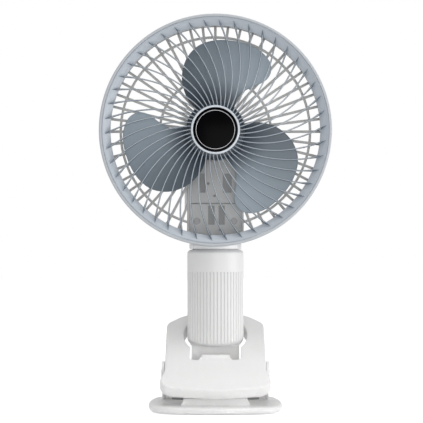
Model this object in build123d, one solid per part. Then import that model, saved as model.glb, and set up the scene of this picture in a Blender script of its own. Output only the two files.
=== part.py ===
from build123d import *
import os
from math import asin, cos, degrees, pi, radians, sin, sqrt

# Rechargeable clip fan. Millimetres, +Z up. The origin is the centre of the underside of the rounded
# square base. The fan blows towards -Y. Depths in the head are measured back from the front of its rim.

# ---- fits and clearances ----
RUNNING_FIT = 0.05      # radial, shaft in a bore that it turns in
SNUG_FIT = 0.1          # radial or side, one still piece inside another
MOVING_GAP = 0.5        # side gap between faces that pass each other

# ---- places ----
STEM_Y = 26.0           # stem and pan axis
TILT_Z = 34.0           # tilt axis above the ground, on the stem axis
HINGE_Y = -3.0          # clip hinge axis
HINGE_Z = 30.0
RIM_RADIUS = 93.2
HEAD_LOW_Z = 129.5       # lowest point of the head's rim
HUB_Z = HEAD_LOW_Z + RIM_RADIUS    # impeller axis
HEAD_FRONT_Y = -8.0     # front plane of the head's rim

# ---- base ----
BASE_HALF = 53.3         # half the width and depth of the rounded square base
BASE_CORNER = 20.0
BASE_SIDE_ARC = 173.0    # its four sides bow outwards
BASE_TOP = 5.5
BASE_EDGE_ROUND = 2.2
FOOT_SETBACK = 6.5       # of the foot sheet inside the base's edge
FOOT_THICKNESS = 1.5
FOOT_PROUD = 0.6
JAW_WIDTH_LOW = 54.0
JAW_WIDTH_TOP = 49.0
JAW_HEIGHT = 5.3
JAW_FRONT_Y = -32.0
JAW_BACK_Y = -11.0
JAW_GROOVES = 5
GROOVE_WIDTH = 1.2
GROOVE_DEPTH = 0.8
CHEEK_THICKNESS = 2.6
CHEEK_ROUND = 8.0
CHEEK_FOOT_FRONT_Y = 20.0
CHEEK_FOOT_BACK_Y = 31.0
GUSSET_THICKNESS = 2.1   # inside each cheek's foot, ribbed in front
GUSSET_HEIGHT = 7.0
RIB_PITCH = 1.4
AXLE_RADIUS = 2.0

# ---- clip plate ----
PLATE_TILT = 29.9       # degrees from level
LIP_Y = -43.0
LIP_Z = 18.4
PLATE_DEPTH = 8.4
PLATE_SKIN = 2.6
PLATE_WALL = 2.2
PLATE_HALF_WIDTH = 40.0
LIP_HALF_WIDTH = 43.5
LIP_CORNER = 12.0
LIP_BOW = 3.0
FLARE_END = 27.0        # along the slope from the lip
PLATE_SIDE_LENGTH = 96.0
PLATE_LENGTH = 114.5
PLATE_CORNER = 9.0       # at the two back corners
STEM_RADIUS = 23.0
HOLE_RADIUS = STEM_RADIUS + 2.9
NOTCH_HALF_WIDTH = 20.3
NOTCH_FRONT_Y = -6.4
NOTCH_CORNER = 4.0
TONGUE_HALF_WIDTH = 12.4  # thumb tongue at the front of the notch, at its foot
TONGUE_TAPER = 1.2
TONGUE_LENGTH = 4.0
LUG_RADIUS = 6.5
LUG_THICKNESS = 5.0
UPPER_PAD_WIDTH = 46.0
UPPER_PAD_LENGTH = 14.0

# ---- clip springs ----
COIL_OUTER_RADIUS = 5.6
COIL_WIRE = 1.6
COIL_LENGTH = 9.6
COIL_INNER_X = 23.5
SPRING_ARM_LENGTH = 30.0
SPRING_FOOT_LENGTH = 26.0

# ---- tilt joint ----
KNUCKLE_HALF_WIDTH = 11.8
KNUCKLE_RADIUS = 8.5
KNUCKLE_FLANGE = 2.5
KNUCKLE_FLANGE_WIDTH = 36.0
KNUCKLE_FLANGE_DEPTH = 24.0
YOKE_LEG_THICKNESS = 7.2
YOKE_RADIUS = 8.3
YOKE_BAR_HALF_DEPTH = 8.3
BOLT_RADIUS = 2.5
BOLT_HEAD_RADIUS = 4.4
BOLT_HEAD_HEIGHT = 2.6
SCREW_RADIUS = 1.4
SCREW_HEAD_RADIUS = 2.7
SCREW_HEAD_HEIGHT = 1.8
KNUCKLE_SCREW_X = 13.5
KNUCKLE_SCREW_Y = 8.0

# ---- stem ----
STEM_WALL = 2.2
STEM_BOTTOM = 48.6
STEM_TOP = 127.0
STEM_DECK = 2.6
SHOULDER_ROUND = 3.6
STEM_FOOT_ROUND = 2.0
FLUTE_COUNT = 50
FLUTE_RADIUS = 0.8
FLUTE_BITE = 0.45
FLUTE_TOP = 108.9
YOKE_DISC = 3.8
YOKE_DISC_Z = 49.2
YOKE_BAR_Z = 43.3

# ---- battery, board and controls ----
CELL_RADIUS = 9.2
CELL_LENGTH = 65.0
CELL_X = 9.5
CELL_SETBACK = 4.0      # cells sit in front of the stem axis
CRADLE_PLATE = 1.4
CRADLE_SPINE = 2.2
BOARD_WIDTH = 26.0
BOARD_THICKNESS = 1.6
BOARD_BACK = STEM_RADIUS - 7.4       # behind the stem axis
BOARD_BOTTOM = 56.0
BUTTON_Z = 115.5
BUTTON_RADIUS = 6.0
BUTTON_GAP = 0.3
BUTTON_PROUD = 1.4
BUTTON_TRAVEL = 0.8
BUTTON_FLANGE = 1.2
BUTTON_FLANGE_DEPTH = 1.0
SWITCH_SIZE = 6.2
SWITCH_HEIGHT = 1.2
SWITCH_STEM_RADIUS = 2.0
SWITCH_GAP = 0.3         # left when the button is fully in
WINDOW_Z = 101.5
WINDOW_WIDTH = 9.0
WINDOW_HEIGHT = 2.4
SOCKET_Z = 62.0
SOCKET_WIDTH = 8.9
SOCKET_HEIGHT = 3.3
SOCKET_DEPTH = 7.0
SOCKET_SHELL = 0.4

# ---- swivel ----
SPIGOT_RADIUS = 12.0
SPIGOT_BORE = 9.5
WASHER_THICKNESS = 0.5
WASHER_RADIUS = STEM_RADIUS - 4
RETAINER_RADIUS = 15.0
RETAINER_THICKNESS = 1.8
SPIGOT_TIP = 1.0

# ---- neck ----
NECK_RADIUS = STEM_RADIUS - 1.9
NECK_WALL = 2.2
COLLAR_FLOOR = 3.0
PANEL_DEPTH = 20.0      # depth of the panel's face behind the head's front
PANEL_THICKNESS = 2.6
PANEL_SIDE = NECK_RADIUS - 0.4
POCKET_DEPTH = 1.2
PANEL_POCKETS = ((-12.5, -8.0, 173.1, 188.6), (5.9, 13.2, 173.1, 188.6),    # X from and to, Z from and to
                 (-5.9, -0.7, 147.1, 162.6), (2.6, 7.5, 147.1, 162.6))
PANEL_GROOVE_Z = 164.3
PANEL_HOLES = ((-5.9, 180.5), (-0.7, 170.5), (3.8, 143.0))
PANEL_HOLE_RADIUS = 1.1
VENT_COUNT = 5
VENT_PITCH = 4.0
VENT_HEIGHT = 1.6
VENT_HALF_WIDTH = 9.0     # of the middle one, each next one 1 mm less
BOSS_RADIUS = 3.0
BOSS_LENGTH = 10.0
BOSS_BORE_DEPTH = 8.0
FLANGE_HALF_WIDTH = NECK_RADIUS + 3.9
FLANGE_THICKNESS = 1.6
FLANGE_BOTTOM_Z = 160.0
NECK_SCREW_Z = (150.0, 196.0)
NECK_SCREW_X = PANEL_SIDE - 5.7

# ---- head: rim and grilles ----
RIM_WALL = 2.2
RIM_DEPTH = 20.5
FRONT_RING_DEPTH = 8.3
FRONT_RING_WALL = 1.6
BAND_INNER_RADIUS = RIM_RADIUS - 9
BAND_LIP_DEPTH = 0.5
BAND_BACK_DEPTH = 6.8
BAND_THICKNESS = 1.5
HUB_RING_OUTER = 19.7
HUB_RING_INNER = 17.95
HUB_PLATE_DEPTH = 3.2
FIN_COUNT = 46
FIN_THICKNESS = 1.0
FIN_FRONT_DEPTH = 1.3
FIN_HEIGHT = 3.3
FIN_TIP_RADIUS = RIM_RADIUS - 3.8
FIN_ANGLE = -9.95       # degrees, then degrees per mm and per mm squared of radius
FIN_TURN = 0.486
FIN_TURN_EASE = -0.00095
REAR_RIB_COUNT = 52
REAR_RIB_WIDTH = 1.8
REAR_RIB_FRONT_DEPTH = 20.0
REAR_RIB_HEIGHT = 2.6
REAR_RING_RADII = (RIM_RADIUS - 48.1, RIM_RADIUS - 16.3)
REAR_RING_WIDTH = 1.7
REAR_OUTER_INSIDE = RIM_RADIUS - 7.8
REAR_WALL_FRONT_DEPTH = 18.6
REAR_INNER_WIDTH = 3.6
GRILLE_SCREW_RADIUS = NECK_RADIUS + 2

# ---- badge ----
BADGE_FACE_DEPTH = 0.4
BADGE_RING_RADIUS = 15.5
BADGE_RING_WIDTH = 0.6
BADGE_RING_PROUD = 0.25

# ---- impeller ----
BLADE_COUNT = 3
BLADE_TIP_RADIUS = RIM_RADIUS - 18.2
BLADE_THICKNESS = 1.6
IMPELLER_FRONT_DEPTH = 5.9
IMPELLER_BACK_DEPTH = 18.3
IMPELLER_HUB_RADIUS = NECK_RADIUS + 2.7
IMPELLER_HUB_WALL = 1.8
HUB_FACE = 2.2
HUB_BOSS_RADIUS = 4.8
HUB_ROUND = 2.5

# ---- motor ----
SHAFT_RADIUS = 1.6
CAN_RADIUS = 13.5
CAN_WALL = 1.0
CAN_ROOM = 1.4           # between its rear rim and the dome
CAN_SETBACK = 0.4       # behind the panel
STATOR_INNER = 8.8
STATOR_SETBACK = 4.0     # its ends inside the can's ends
ROTOR_RADIUS = 8.2
ROTOR_SETBACK = 4.5
BUSH_RADIUS = 3.6
BUSH_LENGTH = 3.0
PUSH_NUT_RADIUS = 4.0
PUSH_NUT_THICKNESS = 0.8

# ---- worked out from the above ----
FOOT_TOP = FOOT_THICKNESS
JAW_TOP = BASE_TOP + JAW_HEIGHT
CHEEK_INNER = PLATE_HALF_WIDTH + MOVING_GAP
CHEEK_OUTER = CHEEK_INNER + CHEEK_THICKNESS
STEM_BORE = STEM_RADIUS - STEM_WALL
YOKE_INNER = KNUCKLE_HALF_WIDTH + MOVING_GAP
YOKE_OUTER = YOKE_INNER + YOKE_LEG_THICKNESS
CELL_BOTTOM = YOKE_DISC_Z + YOKE_DISC + CRADLE_PLATE
CELL_TOP = CELL_BOTTOM + CELL_LENGTH
NECK_BOTTOM = STEM_TOP + WASHER_THICKNESS + SNUG_FIT
PANEL_Y = HEAD_FRONT_Y + PANEL_DEPTH
SHELL_FRONT_Y = PANEL_Y + PANEL_THICKNESS + SNUG_FIT
RIM_INNER = RIM_RADIUS - RIM_WALL
RING_OUTER = RIM_INNER - SNUG_FIT
PLATE_PLANE = Plane(origin=(0, LIP_Y, LIP_Z), x_dir=(1, 0, 0),
                    z_dir=(0, -sin(radians(PLATE_TILT)), cos(radians(PLATE_TILT))))


def depth(distance):
    """Y of a depth behind the head's front plane."""
    return HEAD_FRONT_Y + distance


def block(x0, x1, y0, y1, z0, z1):
    return Pos((x0 + x1) / 2, (y0 + y1) / 2, (z0 + z1) / 2) * Box(x1 - x0, y1 - y0, z1 - z0)


def rod_x(radius, x0, x1, y, z):
    return Pos((x0 + x1) / 2, y, z) * Rot(0, 90, 0) * Cylinder(radius, x1 - x0)


def rod_y(radius, y0, y1, x=0.0, z=HUB_Z):
    return Pos(x, (y0 + y1) / 2, z) * Rot(90, 0, 0) * Cylinder(radius, y1 - y0)


def rod_z(radius, z0, z1, x=0.0, y=0.0):
    return Pos(x, y, (z0 + z1) / 2) * Cylinder(radius, z1 - z0)


def tube_y(outer, inner, y0, y1, z=HUB_Z):
    return rod_y(outer, y0, y1, 0, z) - rod_y(inner, y0 - 1, y1 + 1, 0, z)


def tube_z(outer, inner, z0, z1, x=0.0, y=STEM_Y):
    return rod_z(outer, z0, z1, x, y) - rod_z(inner, z0 - 1, z1 + 1, x, y)


def turned_about_hub(points):
    """Solid turned about the impeller axis from (radius, depth) points."""
    outline = Polyline([(r, depth(d)) for r, d in points], close=True)
    plane = Plane(origin=(0, 0, HUB_Z), x_dir=(1, 0, 0), z_dir=(0, 0, 1))
    return revolve(plane * make_face(outline), Axis((0, 0, HUB_Z), (0, 1, 0)), 360)


def extrude_back(sketch, front_depth, thickness):
    """Head-on sketch (X, height above the hub) made a plate from a depth backwards."""
    plane = Plane(origin=(0, depth(front_depth + thickness), HUB_Z), x_dir=(1, 0, 0), z_dir=(0, -1, 0))
    return extrude(plane * sketch, thickness)


def both_sides(piece):
    return [piece, mirror(piece, Plane.YZ)]


def save(name, *pieces):
    shape = pieces[0] if len(pieces) == 1 else Compound(children=list(pieces))
    export_step(shape, f"parts/{name}.step")


# ---------------------------------------------------------------- base

def knuckle_screw_places():
    return [(x, STEM_Y + y) for x in (-KNUCKLE_SCREW_X, KNUCKLE_SCREW_X)
            for y in (-KNUCKLE_SCREW_Y, KNUCKLE_SCREW_Y)]


def cheek():
    """Right hinge cheek: a round eye on an arm that leans back to the base."""
    arm = Plane.YZ.offset(CHEEK_INNER) * make_face(Polyline(
        (HINGE_Y - CHEEK_ROUND * sin(radians(35)), HINGE_Z - CHEEK_ROUND * cos(radians(35))),
        (CHEEK_FOOT_FRONT_Y, BASE_TOP - 1), (CHEEK_FOOT_BACK_Y, BASE_TOP - 1),
        (CHEEK_FOOT_BACK_Y, BASE_TOP + 2),
        (HINGE_Y + CHEEK_ROUND * sin(radians(35)), HINGE_Z + CHEEK_ROUND * cos(radians(35))),
        close=True))
    eye = rod_x(CHEEK_ROUND, CHEEK_INNER, CHEEK_OUTER, HINGE_Y, HINGE_Z)
    return extrude(arm, CHEEK_THICKNESS) + eye


def base_outline(inset):
    """Plan of the base: four bowed sides joined by round corners, all tangent, moved in by an inset."""
    half = BASE_HALF - inset
    corner = BASE_CORNER - inset
    arc = BASE_SIDE_ARC - inset
    middle = arc - half
    # the corner's centre lies on the diagonal, at arc - corner from the side arc's centre
    span = arc - corner
    place = (-middle + sqrt(2 * span ** 2 - middle ** 2)) / 2
    lean = asin(place / span)
    low = (arc * sin(lean), middle - arc * cos(lean))
    tip = place + corner * sin(pi / 4)
    quarter = [ThreePointArc((-low[0], low[1]), (0, -half), low),
               ThreePointArc(low, (tip, -tip), (-low[1], -low[0]))]
    sides = Curve() + [Rot(0, 0, 90 * turn) * edge for turn in range(4) for edge in quarter]
    return make_face(sides)


def cheek_gusset():
    """Block inside the right cheek's foot, with upright ribs on its front."""
    x0 = CHEEK_INNER - GUSSET_THICKNESS
    body = block(x0, CHEEK_INNER + 1, CHEEK_FOOT_FRONT_Y, CHEEK_FOOT_BACK_Y,
                 BASE_TOP - 1, BASE_TOP + GUSSET_HEIGHT)
    for rib in (0.5, 1.5):
        x = x0 + RIB_PITCH * rib
        body -= rod_z(RIB_PITCH / 4, BASE_TOP, BASE_TOP + GUSSET_HEIGHT + 1, x, CHEEK_FOOT_FRONT_Y)
    return body


def base_plate():
    disc = extrude(Pos(0, 0, FOOT_PROUD) * base_outline(0), BASE_TOP - FOOT_PROUD)
    rims = disc.edges().group_by(Axis.Z)
    disc = fillet(rims[0] + rims[-1], BASE_EDGE_ROUND)
    plate = disc + both_sides(cheek()) + both_sides(cheek_gusset())
    plate -= extrude(base_outline(FOOT_SETBACK - SNUG_FIT), FOOT_TOP)
    plate -= rod_x(AXLE_RADIUS + SNUG_FIT / 5, -CHEEK_OUTER - 1, CHEEK_OUTER + 1, HINGE_Y, HINGE_Z)
    for x, y in knuckle_screw_places():
        plate -= rod_z(SCREW_RADIUS + SNUG_FIT, 0, BASE_TOP + 1, x, y)
        plate -= rod_z(SCREW_HEAD_RADIUS + SNUG_FIT, 0, FOOT_TOP + SCREW_HEAD_HEIGHT, x, y)
    return plate


def foot_sheet():
    return extrude(base_outline(FOOT_SETBACK), FOOT_TOP)


def jaw_block():
    """Grooved soft block that the clip plate's pad closes on."""
    ends = make_face(Polyline((-JAW_WIDTH_LOW / 2, BASE_TOP), (JAW_WIDTH_LOW / 2, BASE_TOP),
                              (JAW_WIDTH_TOP / 2, JAW_TOP), (-JAW_WIDTH_TOP / 2, JAW_TOP), close=True))
    plane = Plane(origin=(0, JAW_BACK_Y, 0), x_dir=(1, 0, 0), z_dir=(0, -1, 0))
    body = extrude(plane * ends, JAW_BACK_Y - JAW_FRONT_Y)
    pitch = (JAW_BACK_Y - JAW_FRONT_Y) / (JAW_GROOVES + 1)
    for row in range(JAW_GROOVES):
        y = JAW_FRONT_Y + pitch * (row + 1)
        body -= block(-JAW_WIDTH_LOW, JAW_WIDTH_LOW, y - GROOVE_WIDTH / 2, y + GROOVE_WIDTH / 2,
                      JAW_TOP - GROOVE_DEPTH, JAW_TOP + 1)
    return body


def tilt_knuckle():
    pillar = block(-KNUCKLE_HALF_WIDTH, KNUCKLE_HALF_WIDTH, STEM_Y - KNUCKLE_RADIUS,
                   STEM_Y + KNUCKLE_RADIUS, BASE_TOP, TILT_Z)
    pillar += rod_x(KNUCKLE_RADIUS, -KNUCKLE_HALF_WIDTH, KNUCKLE_HALF_WIDTH, STEM_Y, TILT_Z)
    pillar += block(-KNUCKLE_FLANGE_WIDTH / 2, KNUCKLE_FLANGE_WIDTH / 2, STEM_Y - KNUCKLE_FLANGE_DEPTH / 2,
                    STEM_Y + KNUCKLE_FLANGE_DEPTH / 2, BASE_TOP, BASE_TOP + KNUCKLE_FLANGE)
    pillar -= rod_x(BOLT_RADIUS + RUNNING_FIT, -KNUCKLE_HALF_WIDTH - 1, KNUCKLE_HALF_WIDTH + 1,
                    STEM_Y, TILT_Z)
    for x, y in knuckle_screw_places():
        pillar -= rod_z(SCREW_RADIUS + SNUG_FIT, BASE_TOP - 1, BASE_TOP + KNUCKLE_FLANGE + 1, x, y)
    return pillar


def screw_z(x, y, head_bottom, length):
    """Countersunk-free pan screw standing point up."""
    head = rod_z(SCREW_HEAD_RADIUS, head_bottom, head_bottom + SCREW_HEAD_HEIGHT, x, y)
    slot = block(x - SCREW_HEAD_RADIUS, x + SCREW_HEAD_RADIUS, y - 0.4, y + 0.4,
                 head_bottom - 1, head_bottom + 0.8)
    return head - slot + rod_z(SCREW_RADIUS, head_bottom + 1, head_bottom + length, x, y)


def knuckle_screws():
    length = BASE_TOP + KNUCKLE_FLANGE - FOOT_TOP
    return [screw_z(x, y, FOOT_TOP, length) for x, y in knuckle_screw_places()]


def hinge_axle():
    return rod_x(AXLE_RADIUS, -CHEEK_OUTER, CHEEK_OUTER, HINGE_Y, HINGE_Z)


def clip_spring():
    """Right torsion spring's coil on the axle, with the arm that stands on the base."""
    coil_bore = COIL_OUTER_RADIUS - COIL_WIRE
    coil = rod_x(COIL_OUTER_RADIUS, COIL_INNER_X, COIL_INNER_X + COIL_LENGTH, HINGE_Y, HINGE_Z)
    coil -= rod_x(coil_bore, COIL_INNER_X - 1, COIL_INNER_X + COIL_LENGTH + 1, HINGE_Y, HINGE_Z)
    drop = HINGE_Z - BASE_TOP - COIL_WIRE / 2
    mean = COIL_OUTER_RADIUS - COIL_WIRE / 2
    reach = sqrt(SPRING_FOOT_LENGTH ** 2 - (drop - mean) ** 2)
    x = COIL_INNER_X + COIL_WIRE / 2
    start = Vector(x, HINGE_Y, HINGE_Z - mean)
    end = Vector(x, HINGE_Y + reach, BASE_TOP + COIL_WIRE / 2)
    arm_plane = Plane(origin=start, z_dir=end - start)
    arm = extrude(arm_plane * Circle(COIL_WIRE / 2), (end - start).length)
    return coil + arm


# ---------------------------------------------------------------- clip plate

def plate_outline():
    """Plan of the clip plate in its own plane, from the lip up the slope."""
    corner_x = LIP_HALF_WIDTH - LIP_CORNER
    corner_y = LIP_BOW + LIP_CORNER
    half = [
        ThreePointArc((-corner_x, LIP_BOW), (0, 0), (corner_x, LIP_BOW)),
        ThreePointArc((corner_x, LIP_BOW),
                      (corner_x + LIP_CORNER * sin(pi / 4), corner_y - LIP_CORNER * cos(pi / 4)),
                      (LIP_HALF_WIDTH, corner_y)),
        Line((LIP_HALF_WIDTH, corner_y), (PLATE_HALF_WIDTH, FLARE_END)),
        Line((PLATE_HALF_WIDTH, FLARE_END), (PLATE_HALF_WIDTH, PLATE_SIDE_LENGTH)),
        ThreePointArc((PLATE_HALF_WIDTH, PLATE_SIDE_LENGTH), (0, PLATE_LENGTH),
                      (-PLATE_HALF_WIDTH, PLATE_SIDE_LENGTH)),
        Line((-PLATE_HALF_WIDTH, PLATE_SIDE_LENGTH), (-PLATE_HALF_WIDTH, FLARE_END)),
        Line((-PLATE_HALF_WIDTH, FLARE_END), (-LIP_HALF_WIDTH, corner_y)),
        ThreePointArc((-LIP_HALF_WIDTH, corner_y),
                      (-corner_x - LIP_CORNER * sin(pi / 4), corner_y - LIP_CORNER * cos(pi / 4)),
                      (-corner_x, LIP_BOW)),
    ]
    face = make_face(Curve() + half)
    corners = [v for v in face.vertices() if abs(v.Y - PLATE_SIDE_LENGTH) < 0.01]
    return fillet(corners, PLATE_CORNER)


def stem_opening(margin):
    """Upright cutter for the stem hole and its notch, narrowed by a margin for the wall round it."""
    top = LIP_Z + PLATE_LENGTH
    hole = rod_z(HOLE_RADIUS + margin, 0, top, 0, STEM_Y)
    side = NOTCH_HALF_WIDTH + margin
    notch = block(-side, side, NOTCH_FRONT_Y - margin, STEM_Y, 0, top)
    notch = fillet(notch.edges().filter_by(Axis.Z).group_by(Axis.Y)[0], NOTCH_CORNER + margin)
    return hole + notch


def thumb_tongue():
    """Tapered piece of the plate's skin that stands a little way into the front of the notch."""
    foot, tip = TONGUE_HALF_WIDTH, TONGUE_HALF_WIDTH - TONGUE_TAPER
    front, back = NOTCH_FRONT_Y - PLATE_WALL / 2, NOTCH_FRONT_Y + TONGUE_LENGTH
    plan = make_face(Polyline((-foot, front), (foot, front), (tip, back), (-tip, back), close=True))
    return extrude(plan, LIP_Z + PLATE_LENGTH) & extrude(PLATE_PLANE * plate_outline(), -PLATE_SKIN)


def clip_plate():
    outline = plate_outline()
    slab = extrude(PLATE_PLANE * outline, -PLATE_DEPTH)
    inner = offset(outline, -PLATE_WALL)
    pocket = extrude(PLATE_PLANE.offset(-PLATE_SKIN) * inner, -PLATE_DEPTH)
    plate = slab - (pocket - stem_opening(PLATE_WALL))
    lug_out = PLATE_HALF_WIDTH
    lug = rod_x(LUG_RADIUS, lug_out - LUG_THICKNESS, lug_out, HINGE_Y, HINGE_Z)
    web = block(lug_out - LUG_THICKNESS, lug_out, HINGE_Y - LUG_RADIUS, HINGE_Y + LUG_RADIUS,
                HINGE_Z, HINGE_Z + PLATE_DEPTH)
    lug = (lug + web) & extrude(PLATE_PLANE.offset(-1) * outline, -4 * PLATE_DEPTH)
    plate = plate + both_sides(lug)
    plate -= stem_opening(0)
    plate += thumb_tongue()
    plate -= rod_x(AXLE_RADIUS + RUNNING_FIT, -CHEEK_OUTER, CHEEK_OUTER, HINGE_Y, HINGE_Z)
    return plate


def upper_pad():
    """Wedge of soft plastic under the lip, flat where it meets the jaw block."""
    low = JAW_TOP + 0.3
    back = JAW_FRONT_Y + UPPER_PAD_LENGTH
    wedge = block(-UPPER_PAD_WIDTH / 2, UPPER_PAD_WIDTH / 2, JAW_FRONT_Y, back, low, LIP_Z + PLATE_LENGTH)
    underside = extrude(PLATE_PLANE.offset(-PLATE_SKIN) * plate_outline(), -2 * PLATE_DEPTH)
    return wedge & underside


def spring_arm():
    """The right spring's upper arm, which lies under the plate behind the hinge."""
    x = COIL_INNER_X + COIL_LENGTH - COIL_WIRE / 2
    slope = radians(PLATE_TILT)
    lift = COIL_OUTER_RADIUS - COIL_WIRE / 2
    start = Vector(x, HINGE_Y - lift * sin(slope), HINGE_Z + lift * cos(slope))
    plane = Plane(origin=start, z_dir=(0, cos(slope), sin(slope)))
    arm = extrude(plane * Circle(COIL_WIRE / 2), SPRING_ARM_LENGTH)
    return arm - rod_x(COIL_OUTER_RADIUS + SNUG_FIT, x - COIL_WIRE, x + COIL_WIRE, HINGE_Y, HINGE_Z)


# ---------------------------------------------------------------- stem

def stem_tube():
    tube = rod_z(STEM_RADIUS, STEM_BOTTOM, STEM_TOP, 0, STEM_Y)
    foot, shoulder = tube.edges().filter_by(GeomType.CIRCLE).sort_by(Axis.Z)
    tube = fillet(shoulder, SHOULDER_ROUND)
    tube = fillet(tube.edges().filter_by(GeomType.CIRCLE).sort_by(Axis.Z)[0], STEM_FOOT_ROUND)
    flute = rod_z(FLUTE_RADIUS, STEM_BOTTOM - 1, FLUTE_TOP, STEM_RADIUS - FLUTE_BITE + FLUTE_RADIUS, 0)
    flutes = [Pos(0, STEM_Y, 0) * Rot(0, 0, 360 / FLUTE_COUNT * n) * flute for n in range(FLUTE_COUNT)]
    tube -= flutes
    tube -= rod_z(STEM_BORE, STEM_BOTTOM - 1, STEM_TOP - STEM_DECK, 0, STEM_Y)
    tube -= rod_z(SPIGOT_RADIUS + RUNNING_FIT, STEM_BOTTOM, STEM_TOP + 1, 0, STEM_Y)
    back = STEM_Y + STEM_RADIUS + 1
    tube -= rod_y(BUTTON_RADIUS + BUTTON_GAP, STEM_Y, back, 0, BUTTON_Z)
    tube -= block(-WINDOW_WIDTH / 2 - SNUG_FIT, WINDOW_WIDTH / 2 + SNUG_FIT, STEM_Y, back,
                  WINDOW_Z - WINDOW_HEIGHT / 2 - SNUG_FIT, WINDOW_Z + WINDOW_HEIGHT / 2 + SNUG_FIT)
    tube -= socket_form(SNUG_FIT, STEM_Y, back)
    return tube


def stem_yoke():
    """Disc that closes the stem, with the cross bar and two legs of the tilt joint."""
    disc = rod_z(STEM_BORE - SNUG_FIT, YOKE_DISC_Z, YOKE_DISC_Z + YOKE_DISC, 0, STEM_Y)
    bar = block(-YOKE_OUTER, YOKE_OUTER, STEM_Y - YOKE_BAR_HALF_DEPTH, STEM_Y + YOKE_BAR_HALF_DEPTH,
                YOKE_BAR_Z, YOKE_DISC_Z) & rod_z(STEM_BORE - SNUG_FIT, YOKE_BAR_Z, YOKE_DISC_Z, 0, STEM_Y)
    leg = rod_x(YOKE_RADIUS, YOKE_INNER, YOKE_OUTER, STEM_Y, TILT_Z)
    leg += block(YOKE_INNER, YOKE_OUTER, STEM_Y - YOKE_RADIUS, STEM_Y + YOKE_RADIUS, TILT_Z, YOKE_BAR_Z)
    leg -= rod_x(BOLT_HEAD_RADIUS + SNUG_FIT, YOKE_OUTER - BOLT_HEAD_HEIGHT, YOKE_OUTER + 1, STEM_Y, TILT_Z)
    yoke = disc + bar + both_sides(leg)
    return yoke - rod_x(BOLT_RADIUS + SNUG_FIT / 5, -YOKE_OUTER, YOKE_OUTER, STEM_Y, TILT_Z)


def tilt_bolt():
    """Bolt through both legs, its head sunk in the left leg with a cross slot."""
    end = YOKE_OUTER - BOLT_HEAD_HEIGHT
    bolt = rod_x(BOLT_RADIUS, -end, YOKE_OUTER - 0.4, STEM_Y, TILT_Z)
    bolt += rod_x(BOLT_HEAD_RADIUS, -YOKE_OUTER, -end, STEM_Y, TILT_Z)
    return bolt - block(-YOKE_OUTER - 1, -YOKE_OUTER + 1, STEM_Y - 0.5, STEM_Y + 0.5,
                        TILT_Z - BOLT_HEAD_RADIUS, TILT_Z + BOLT_HEAD_RADIUS)


def tilt_nut():
    face = Plane.YZ.offset(YOKE_OUTER - BOLT_HEAD_HEIGHT)
    nut = face * Pos(STEM_Y, TILT_Z) * RegularPolygon(BOLT_HEAD_RADIUS, 6)
    nut = extrude(nut, BOLT_HEAD_HEIGHT)
    return nut - rod_x(BOLT_RADIUS, 0, YOKE_OUTER + 1, STEM_Y, TILT_Z)


def battery_cell(side):
    x = side * CELL_X
    y = STEM_Y - CELL_SETBACK
    cell = rod_z(CELL_RADIUS, CELL_BOTTOM, CELL_TOP - 1, x, y)
    return cell + rod_z(CELL_RADIUS / 3, CELL_TOP - 2, CELL_TOP, x, y)


def battery_cradle():
    """End plates for the two cells, joined by a spine behind them."""
    radius = STEM_BORE - 4 * SNUG_FIT
    spine_front = STEM_Y - CELL_SETBACK + CELL_RADIUS + SNUG_FIT
    low = rod_z(radius, CELL_BOTTOM - CRADLE_PLATE, CELL_BOTTOM, 0, STEM_Y)
    high = rod_z(radius, CELL_TOP, CELL_TOP + CRADLE_PLATE, 0, STEM_Y)
    room = block(-STEM_RADIUS, STEM_RADIUS, STEM_Y + BOARD_BACK - 4 * BOARD_THICKNESS,
                 STEM_Y + STEM_RADIUS, CELL_BOTTOM - 1, CELL_TOP + CRADLE_PLATE + 1)
    spine = block(-CELL_X, CELL_X, spine_front, spine_front + CRADLE_SPINE, CELL_BOTTOM, CELL_TOP)
    return low + (high - room) + spine


def socket_form(margin, y0, y1):
    """Flattened oval of the charging socket, run along Y."""
    width = SOCKET_WIDTH + 2 * margin
    height = SOCKET_HEIGHT + 2 * margin
    plane = Plane(origin=(0, y1, SOCKET_Z), x_dir=(1, 0, 0), z_dir=(0, -1, 0))
    return extrude(plane * SlotOverall(width, height), y1 - y0)


def socket_mouth_y():
    return STEM_Y + STEM_RADIUS - FLUTE_BITE - 0.6


def charge_socket():
    mouth = socket_mouth_y()
    shell = socket_form(0, mouth - SOCKET_DEPTH, mouth)
    shell -= socket_form(-SOCKET_SHELL, mouth - SOCKET_DEPTH + 1, mouth + 1)
    return shell + block(-SOCKET_WIDTH / 3, SOCKET_WIDTH / 3, mouth - SOCKET_DEPTH, mouth - 1,
                         SOCKET_Z - 0.35, SOCKET_Z + 0.35)


def control_board():
    back = STEM_Y + BOARD_BACK
    top = STEM_TOP - STEM_DECK - 8
    board = block(-BOARD_WIDTH / 2, BOARD_WIDTH / 2, back - BOARD_THICKNESS, back, BOARD_BOTTOM, top)
    board -= socket_form(SNUG_FIT, back - BOARD_THICKNESS - 1, back + 1)
    half = SWITCH_SIZE / 2
    press = rod_y(SWITCH_STEM_RADIUS, back, button_inner_y() - BUTTON_TRAVEL - SWITCH_GAP, 0, BUTTON_Z)
    return board + press + block(-half, half, back, back + SWITCH_HEIGHT, BUTTON_Z - half, BUTTON_Z + half)


def button_inner_y():
    """Y of the button's inner end when it stands out at rest."""
    return STEM_Y + sqrt(STEM_BORE ** 2 - (BUTTON_RADIUS + BUTTON_FLANGE) ** 2) - BUTTON_FLANGE_DEPTH - 0.3


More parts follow.
